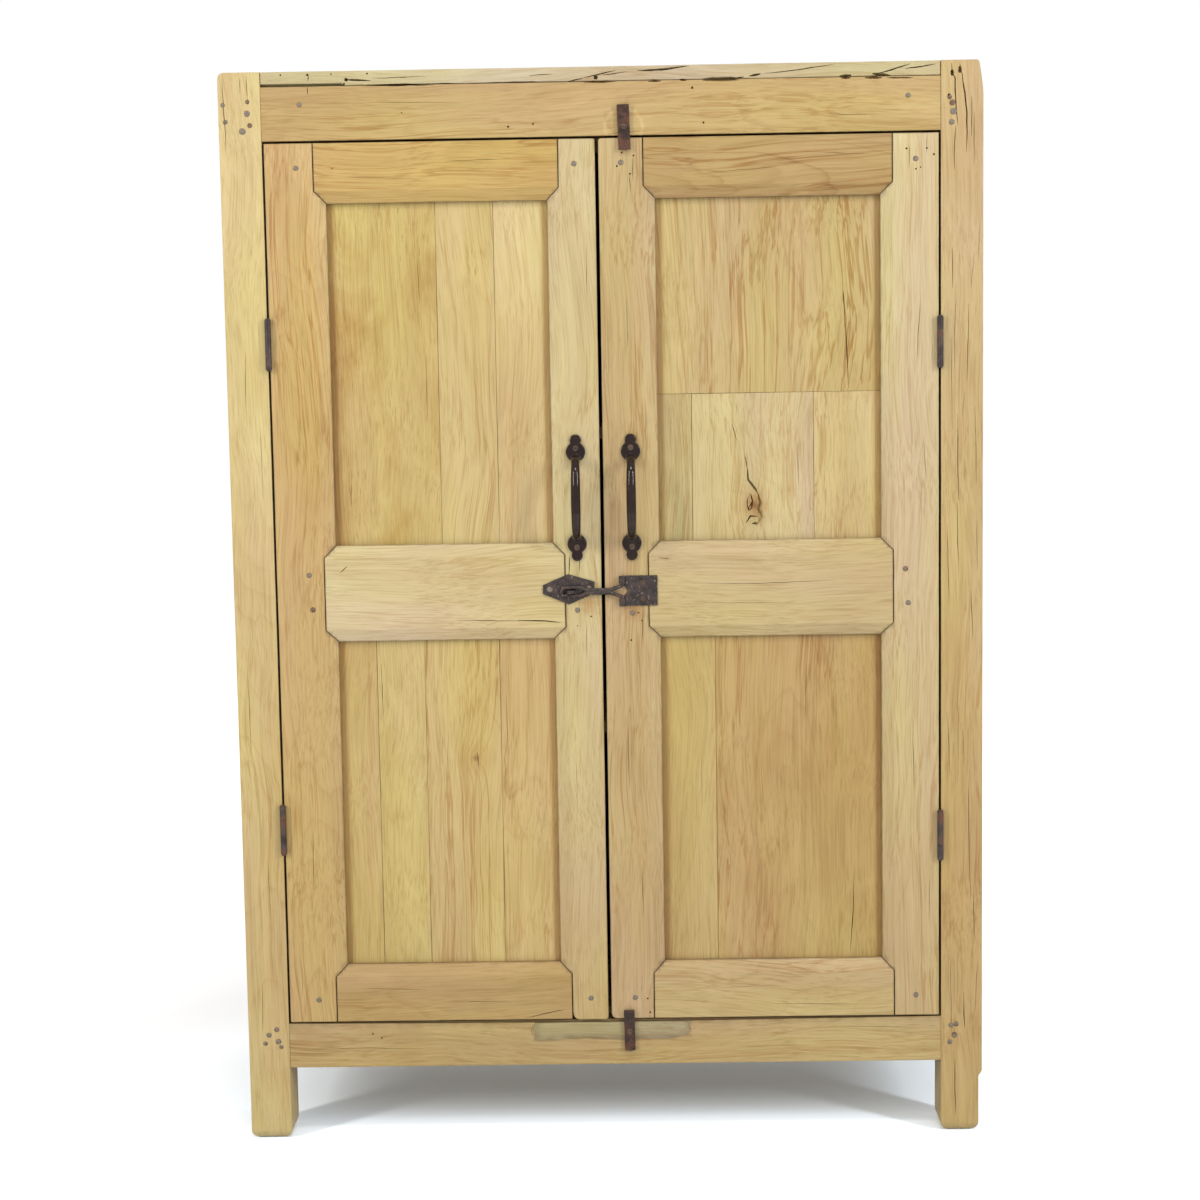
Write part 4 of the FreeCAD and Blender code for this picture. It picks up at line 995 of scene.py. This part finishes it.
class Door:
    """One door: the places that its parts share, read from the frame, and the boards that keep to them."""

    def __init__(self, hand):
        self.hand, self.side = hand, -1 if hand == "left" else 1
        self.seed = {"left": 200, "right": 300}[hand]
        self.boxes = {p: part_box(f"{hand}_door_{p}") for p in
                      ("hanging_stile", "meeting_stile", "top_rail", "mid_rail", "bottom_rail")}
        hang, meet = self.boxes["hanging_stile"], self.boxes["meeting_stile"]
        outer, inner = (0, 1) if hand == "left" else (1, 0)
        self.stile_x = {  # each stile's edge, the shoulder of its bevel, and its side of the panels
            "hanging_stile": (hang[outer].x, hang[inner].x + self.side * BEVEL_W, hang[inner].x),
            "meeting_stile": (meet[inner].x, meet[outer].x - self.side * BEVEL_W, meet[outer].x),
        }
        self.shoulders = sorted(x[1] for x in self.stile_x.values())
        self.openings = sorted(x[2] for x in self.stile_x.values())
        self.low, self.high = hang[0].z, hang[1].z
        self.front, self.back = hang[0].y, hang[1].y
        self.lower = self.boxes["bottom_rail"][1].z, self.boxes["mid_rail"][0].z
        self.upper = self.boxes["mid_rail"][1].z, self.boxes["top_rail"][0].z

    def wear(self, p, edge=math.inf):
        """The outer edges are worn rounder than the joints."""
        outside = abs(p.x - edge) < 4 * MM or p.z < self.low + 4 * MM or p.z > self.high - 4 * MM
        return 1.3 * MM if outside else 0.4 * MM

    def framing(self, name, outline, seed, grain, **how):
        node = f"{self.hand}_door_{name}"
        made = board(outline, "front", self.front, self.back, self.seed + seed, grain, LOOKS[node][0],
                     knot=KNOTS.get(node), rust=RUST.get(node), cutters=door_marks(self.hand, name),
                     more_w=[self.front + 12 * MM], **how)
        wooden(f"{node}_wood", [made], [node], grain)

    def stiles(self):
        rounded = {"left": (4 * MM, 3 * MM, 10 * MM), "right": (8 * MM, 4 * MM, 1.5 * MM)}[self.hand]
        for name, (edge, shoulder, opening) in self.stile_x.items():
            meeting = name == "meeting_stile"
            radii = rounded if meeting else (1.5 * MM, 1.5 * MM, 1.0 * MM)
            drop = 1.0 * MM if meeting and self.hand == "left" else 0
            ends = (self.low - drop, self.high)
            outline = stile_outline(edge, shoulder, opening, ends, (self.lower, self.upper), radii)
            toward = math.copysign(1, opening - shoulder)

            def dent(u, v, shoulder=shoulder, toward=toward):
                return BEVEL_D * clamped((u - shoulder) * toward / BEVEL_W)

            def wear(p, edge=edge):
                return self.wear(p, edge)

            self.framing(name, outline, len(name) + self.side, "z", wear=wear, dent=dent,
                         foot=LOOKS[f"{self.hand}_door_{name}"][1], more_u=[shoulder])

    def rails(self):
        a, b = self.shoulders[0] + SHOULDER_GAP, self.shoulders[1] - SHOULDER_GAP
        c, d = self.openings[0] + SHOULDER_GAP, self.openings[1] - SHOULDER_GAP
        for k, name in enumerate(("top_rail", "mid_rail", "bottom_rail")):
            low, high = self.boxes[name][0].z, self.boxes[name][1].z
            below, above = name != "bottom_rail", name != "top_rail"
            face = (low + (BEVEL_W if below else 0), high - (BEVEL_W if above else 0))
            outline = [(a, face[0]), *([(c, low), (d, low)] if below else []), (b, face[0])]
            outline += [(b, face[1]), *([(d, high), (c, high)] if above else []), (a, face[1])]

            def dent(u, v, face=face):
                return BEVEL_D * clamped(max(face[0] - v, v - face[1]) / BEVEL_W)

            self.framing(name, outline, 40 + k, "x", wear=self.wear, dent=dent, more_v=list(face))

    def panels(self):
        left, right = self.openings
        sides = [left + inset for inset in SHADE_INSETS] + [right - inset for inset in SHADE_INSETS]
        for k, (name, (foot, head)) in enumerate((("upper_panel", self.upper), ("lower_panel", self.lower))):
            node = f"{self.hand}_door_{name}"
            made = []
            for j, (low, high) in enumerate(solid_boxes(node)):
                knot = KNOTS.get(node)
                here = knot and low.x < knot[0] < high.x and low.z < knot[2] < high.z
                knot = (knot[0], low.y, knot[2]) if here else None
                made.append(box_board(low, high, "front", self.seed + 60 + 10 * k + j, "z", LOOKS[node][j],
                                      wear=0.3 * MM, step=GRID * 1.5, rough=0.3 * MM, joints=0.45,
                                      corner=self.openings, knot=knot,
                                      rust=knot if self.hand == "right" else None,
                                      cutters=door_marks(self.hand, name),
                                      more_u=sides, more_v=[foot + 3 * MM, head - 3 * MM]))
            wooden(f"{node}_wood", made, [node], "z")


HOLES = {  # x, z and radius, in millimetres
    "left_door_meeting_stile": [(-22, 700, 1.0), (-40, 688, 0.8)],
    "right_door_meeting_stile": [
        (27, 1297, 1.2), (42, 1293, 1.3), (20.5, 1280, 1.4), (37, 1270, 1.3), (40, 704, 1.2),
        (44, 694, 1.0), (30, 668, 1.3), (45, 187, 1.3), (48, 168, 1.3),
    ],
    "right_door_hanging_stile": [
        (391, 1296, 1.4), (417, 1296, 1.3), (426, 1288, 1.4), (403, 1270, 1.2), (409, 1272, 1.0),
    ],
    "left_door_top_rail": [(-345, 1283, 0.8)],
}
SPLITS = {  # width, then points, in millimetres
    "right_door_meeting_stile": [
        (0.9, (41, 1292), (40.5, 1262)), (0.8, (36, 1269), (38, 1246)), (0.9, (46, 722), (45, 660)),
        (0.5, (30, 1120), (31, 1050)), (0.6, (24, 560), (25, 470)), (0.5, (40, 360), (41, 300)),
    ],
    "left_door_meeting_stile": [
        (1.2, (-49, 778), (-50, 754)), (0.8, (-36, 777), (-37, 756)), (0.5, (-20, 1180), (-21, 1110)),
        (0.5, (-45, 520), (-44, 430)), (0.6, (-28, 690), (-29, 640)),
    ],
    "right_door_hanging_stile": [
        (0.8, (404, 1030), (408, 1105)), (0.7, (416, 870), (412, 930)), (0.7, (395, 1300), (394, 1272)),
        (0.7, (417, 1310), (416.5, 1290)), (0.5, (398, 560), (399, 470)), (0.5, (420, 350), (419, 290)),
    ],
    "left_door_hanging_stile": [
        (0.5, (-408, 1150), (-406, 1090)), (0.5, (-395, 420), (-396, 340)), (0.5, (-415, 240), (-415, 190)),
    ],
    "left_door_mid_rail": [
        (2.0, (-62, 693), (-84, 695), (-118, 696)), (0.8, (-110, 695.5), (-200, 697)),
        (0.9, (-340, 770), (-349, 762)),
    ],
    "right_door_mid_rail": [
        (0.6, (90, 742), (190, 740), (300, 743)), (0.5, (120, 716), (240, 714)),
        (0.9, (68, 776), (84, 774)),
    ],
    "left_door_top_rail": [(0.5, (-330, 1272), (-240, 1268)), (0.5, (-200, 1290), (-110, 1292))],
    "left_door_bottom_rail": [
        (1.3, (-118, 162.6), (-81.2, 170.2), (-64, 173.2)), (0.6, (-330, 205), (-250, 203)),
        (0.6, (-220, 185), (-120, 186)),
    ],
    "right_door_bottom_rail": [(0.5, (120, 200), (220, 203)), (0.5, (210, 178), (320, 176))],
    "right_door_top_rail": [(0.5, (140, 1270), (230, 1276)), (0.5, (250, 1295), (340, 1290))],
    "right_door_upper_panel": [
        (1.4, (310, 1118), (313, 1085)), (1.2, (312, 1090), (315, 1040), (317, 992)),
        (1.1, (182, 905), (184.5, 888)),
        (4.0, (184.5, 890), (185.5, 874.6), (194.4, 862.5), (198.4, 856.4)),
        (8.0, (197.5, 858), (201.3, 844.4), (198.1, 836.6), (203.1, 826.4), (195.9, 814.5)),
        (3.6, (199, 818), (190.1, 817.5)), (2.4, (188.3, 856.6), (191.2, 846.6), (185.1, 836.8)),
        (3.2, (182, 818), (188.1, 827.6), (197, 826.5)), (1.0, (165, 948), (171, 926)),
        (2.0, (188.5, 857), (184.8, 850), (184.2, 842), (186.5, 835), (190, 838), (191.2, 846.6),
         (189.8, 854), (188, 857.5)), (0.5, (250, 930), (251, 860)),
    ],
    "right_door_lower_panel": [
        (1.2, (322, 360), (320, 300), (316, 245)), (0.5, (120, 520), (121, 430)),
        (0.5, (260, 640), (258, 560)),
    ],
    "left_door_lower_panel": [
        (1.0, (-176, 520), (-174, 498)), (0.6, (-136, 600), (-135, 480)), (0.5, (-300, 640), (-299, 560)),
    ],
    "left_door_upper_panel": [(0.5, (-240, 1180), (-238, 1110)), (0.6, (-232, 1040), (-231, 960))],
}


def door_marks(hand, part):
    """Holes, splits and the rings round nails in a part of a door."""
    node = f"{hand}_door_{part}"
    set_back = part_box(node)[0].y - FRONT
    made = splits(SPLITS.get(node, []), set_back=set_back) + pits(HOLES.get(node, []))
    return made if set_back > MM else made + nail_rings(f"{hand}_door_nails")


# ---- nails and forged pieces ----------------------------------------------------------------------
def lathe(profile, centre, axis, around=20, wobble=0.0, seed=0):
    """A turned shape: profile is (radius, height along axis) from its top's middle outwards."""
    rng = random.Random(seed)
    turn = Z.rotation_difference(axis).to_matrix()
    bm = bmesh.new()
    rings = []
    for radius, height in profile:
        if radius < 1e-7:
            rings.append([bm.verts.new(centre + turn @ Vector((0, 0, height)))])
            continue
        phase = rng.uniform(0, 6)
        ring = []
        for k in range(around):
            a = 2 * math.pi * k / around
            r = radius * (1 + wobble * math.sin(2 * a + phase) + wobble * 0.5 * math.sin(5 * a + phase * 2))
            ring.append(bm.verts.new(centre + turn @ Vector((r * math.cos(a), r * math.sin(a), height))))
        rings.append(ring)
    for a, b in zip(rings, rings[1:]):
        for k in range(around):
            j = (k + 1) % around
            if len(a) == 1:
                bm.faces.new((a[0], b[k], b[j]))
            elif len(b) == 1:
                bm.faces.new((a[k], b[0], a[j]))
            else:
                bm.faces.new((a[k], b[k], b[j], a[j]))
    bmesh.ops.recalc_face_normals(bm, faces=bm.faces)
    return bm


def nails(node, material, axis):
    """Hammered heads, and shanks, at the places of a node's nails. axis points out of the wood."""
    made = []
    across = [i for i in range(3) if abs(axis[i]) < 0.5]
    for k, (low, high) in enumerate(solid_boxes(node)):
        outer = high if sum(axis) > 0 else low
        along = next(i for i in range(3) if abs(axis[i]) > 0.5)
        centre = (low + high) / 2
        centre[along] = outer[along]
        radius = (high[across[0]] - low[across[0]]) / 2
        length = high[along] - low[along]
        profile = [(0, -0.05 * MM), (radius * 0.55, -0.1 * MM), (radius * 0.88, -0.28 * MM),
                   (radius, -0.62 * MM), (radius * 0.9, -1.1 * MM), (radius * 0.45, -1.3 * MM),
                   (radius * 0.4, -length * 0.85), (0, -length)]
        made.append(lathe(profile, centre, axis, 18, 0.04, k))
    as_piece(f"{node}_iron", made, material, [node])


def forged(name, node, material, voxel=0.55 * MM, hammer=0.12 * MM, scale=140.0, shape=None, smooth=3):
    """The CAD piece's shape as if forged: edges melted together, and the surface slightly hammered."""
    source = bmesh.new()
    source.from_mesh(frame["nodes"][node].data)
    bmesh.ops.remove_doubles(source, verts=source.verts, dist=1e-6)
    if shape:
        long_edges = [e for e in source.edges if e.calc_length() > 4 * MM]
        bmesh.ops.subdivide_edges(source, edges=long_edges, cuts=4)
        for v in source.verts:
            v.co = shape(v.co.copy())
    obj = linked(name, source)
    mesh = obj.data
    remesh = obj.modifiers.new("remesh", "REMESH")
    remesh.mode, remesh.voxel_size = "VOXEL", voxel
    soft = obj.modifiers.new("soft", "SMOOTH")
    soft.factor, soft.iterations = 0.5, smooth
    made = evaluated(obj)
    obj.modifiers.clear()
    obj.data = made
    bpy.data.meshes.remove(mesh)
    bm = bmesh.new()
    bm.from_mesh(obj.data)
    bm.normal_update()
    for v in bm.verts:
        v.co += v.normal * hammer * (noise.noise(v.co * scale) + 0.4 * noise.noise(v.co * scale * 3.3))
    bm.to_mesh(obj.data)
    bm.free()
    obj.data.materials.clear()
    obj.data.materials.append(material)
    obj.data.shade_smooth()
    takes_over(obj, [node])


def ironwork():
    cast = iron("cast_iron_waxed", srgb(22, 13, 10), srgb(30, 18, 14), srgb(48, 27, 18), rusty=0.1,
                gloss=(0.08, 0.15), metallic=0.0, bumpy=0.03, specular=0.22)
    black = iron("forged_iron_worn", srgb(30, 24, 23), srgb(60, 51, 48), srgb(60, 38, 28), rusty=0.25,
                 gloss=(0.30, 0.50), metallic=0.15, bumpy=0.4, scratched=0.55)
    rusty = iron("forged_iron_rusty", srgb(32, 19, 14), srgb(50, 31, 22), srgb(66, 36, 23), rusty=0.45,
                 gloss=(0.34, 0.55), metallic=0.05, bumpy=0.4, scratched=0.2)
    steel = iron("hinge_steel_dull", srgb(38, 30, 30), srgb(66, 58, 56), srgb(70, 44, 32), rusty=0.35,
                 gloss=(0.30, 0.48), metallic=0.25, bumpy=0.12)
    screw = iron("screw_steel_dull", srgb(48, 37, 31), srgb(84, 70, 58), srgb(70, 46, 32), rusty=0.35,
                 gloss=(0.36, 0.55), metallic=0.3, bumpy=0.12)
    nail_head = iron("nail_iron_dull", srgb(80, 74, 66), srgb(122, 114, 104), srgb(80, 58, 44), rusty=0.45,
                     gloss=(0.42, 0.6), metallic=0.25, bumpy=0.2)

    for hand in ("left", "right"):
        low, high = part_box(f"{hand}_door_handle")
        middle = (low + high) / 2

        def waist(p, low=low, middle=middle):
            """The grip bows and swells in its middle, and narrows towards its feet."""
            share = ((p.z - middle.z) / HALF_GRIP) ** 2
            if share < 1 and p.y < FRONT - 6 * MM:
                p.x = middle.x + (p.x - middle.x) * (1.06 - 0.16 * share)
                p.y -= GRIP_BOW * (1 - share)
            return p

        forged(f"{hand}_door_handle_iron", f"{hand}_door_handle", cast, 0.7 * MM, 0.05 * MM, 90.0, waist, 5)
    forged("staple_plate_iron", "staple_plate", black, 0.45 * MM, 0.35 * MM, 120.0, smooth=2)
    forged("padlock_staple_iron", "padlock_staple", black, 0.4 * MM, 0.15 * MM)
    forged("hasp_hinge_plate_iron", "hasp_hinge_plate", black, 0.45 * MM, 0.25 * MM, 120.0, smooth=2)
    forged("hasp_arm_iron", "hasp_arm", black, 0.4 * MM, 0.18 * MM, 160.0, smooth=2)
    forged("top_turn_button_iron", "top_turn_button", rusty, 0.5 * MM, 0.22 * MM, smooth=2)
    forged("bottom_turn_button_iron", "bottom_turn_button", rusty, 0.5 * MM, 0.22 * MM, smooth=2)

    out = Vector((0, -1, 0))
    nails("post_nails", nail_head, out)
    nails("left_door_nails", nail_head, out)
    nails("right_door_nails", nail_head, out)
    nails("back_nails", nail_head, Vector((0, 1, 0)))
    for material, nodes in (
        (nail_head, ["cleat_nails"]), (rusty, ["button_washers"]),
        (screw, ["carcass_screws", "left_door_screws", "right_door_screws"]),
        (steel, ["hinge_pins", "post_hinge_leaves", "left_door_hinge_leaves", "right_door_hinge_leaves"]),
    ):
        for node in nodes:
            mesh = frame["nodes"][node].data
            mesh.materials.clear()
            mesh.materials.append(material)


# ---- studio ------------------------------------------------------------------------------------------
def studio_floor():
    """A pale floor that glows faintly all over. Under the armoire it is bluish, which turns the warm shade
    there grey; round it is a grey ring, so that it lights the wood less from below, and which is partly
    painted soft shade about the feet; further out it is near white.
    """
    bpy.ops.mesh.primitive_plane_add(size=60, location=(0, 0, 0))
    floor = bpy.context.object
    floor.name = "studio_floor"
    s = Shader("studio_floor")
    under = s.vector("LENGTH", s.vector("MULTIPLY", s.where(), (1 / 0.62, 1 / 0.5, 0)), (0, 0, 0))
    soft = s.times(s.noise(s.where(), 1.5, 2), 0.2)
    # painted: bluish where the armoire's shadow falls, to make that shade grey, and a grey ring round it
    # that is partly painted soft shade
    colour = s.mix(s.between(s.sums("ADD", under, soft), 0.8, 1.4), (0.85, 0.92, 0.99), (0.74, 0.75, 0.76))
    colour = s.mix(s.between(under, 1.4, 2.2), colour, (0.94, 0.94, 0.94))
    # the floor glows faintly all over, though it is no lamp
    floor.data.materials.append(s.set(Base_Color=colour, Roughness=0.9, Specular_IOR_Level=0.0,
                                      Emission_Color=(1.0, 1.0, 1.0), Emission_Strength=0.06))


def studio_lights():
    scene = bpy.context.scene
    world = bpy.data.worlds.new("studio")
    scene.world = world
    world.use_nodes = True
    world.node_tree.nodes["Background"].inputs["Color"].default_value = (1, 1, 1, 1)
    world.node_tree.nodes["Background"].inputs["Strength"].default_value = 1.0
    scene.view_settings.view_transform = "Standard"
    low, high = CAD_BOX
    aim = (low + high) / 2 + Vector((0, 0, 0.1))
    for name, place, size, power in (("softbox_left", (-2.9, -2.5, 2.2), (0.4, 1.9), 108),
                                     ("softbox_right", (3.0, -2.5, 2.2), (0.4, 1.9), 126),
                                     ("softbox_top", (0.3, -1.8, 3.3), (1.4, 0.5), 42)):
        data = bpy.data.lights.new(name, "AREA")
        data.shape, data.size, data.size_y, data.energy = "RECTANGLE", *size, power
        data.color = (1.0, 0.95, 0.88) if place[0] < 0 else (0.96, 0.98, 1.0)
        light = bpy.data.objects.new(name, data)
        scene.collection.objects.link(light)
        light.location = place
        light.rotation_euler = (aim - light.location).to_track_quat("-Z", "Y").to_euler()


def camera_of_the_photo():
    """The camera that was fitted to the straight edges of the front."""
    camera_data = bpy.data.cameras.new("camera")
    camera = bpy.data.objects.new("camera", camera_data)
    bpy.context.scene.collection.objects.link(camera)
    camera_data.sensor_width, camera_data.lens = 36, 66.92
    pitch, yaw, roll = math.radians(5.969), math.radians(-0.767), math.radians(-0.925)
    ahead = Vector((math.sin(yaw) * math.cos(pitch), math.cos(yaw) * math.cos(pitch), -math.sin(pitch)))
    right = Vector((math.cos(yaw), -math.sin(yaw), 0))
    up = right.cross(ahead)
    right, up = right * math.cos(roll) + up * math.sin(roll), up * math.cos(roll) - right * math.sin(roll)
    camera.matrix_world = Matrix.Translation((0.0287, FRONT - 2.9, 1.0247)) @ Matrix(
        (right, up, -ahead)).transposed().to_4x4()
    bpy.context.scene.camera = camera


posts()
front_rails()
top_and_inside()
sides_and_rear()
for door in (Door("left"), Door("right")):
    door.stiles()
    door.rails()
    door.panels()
ironwork()
studio_floor()
studio_lights()
camera_of_the_photo()
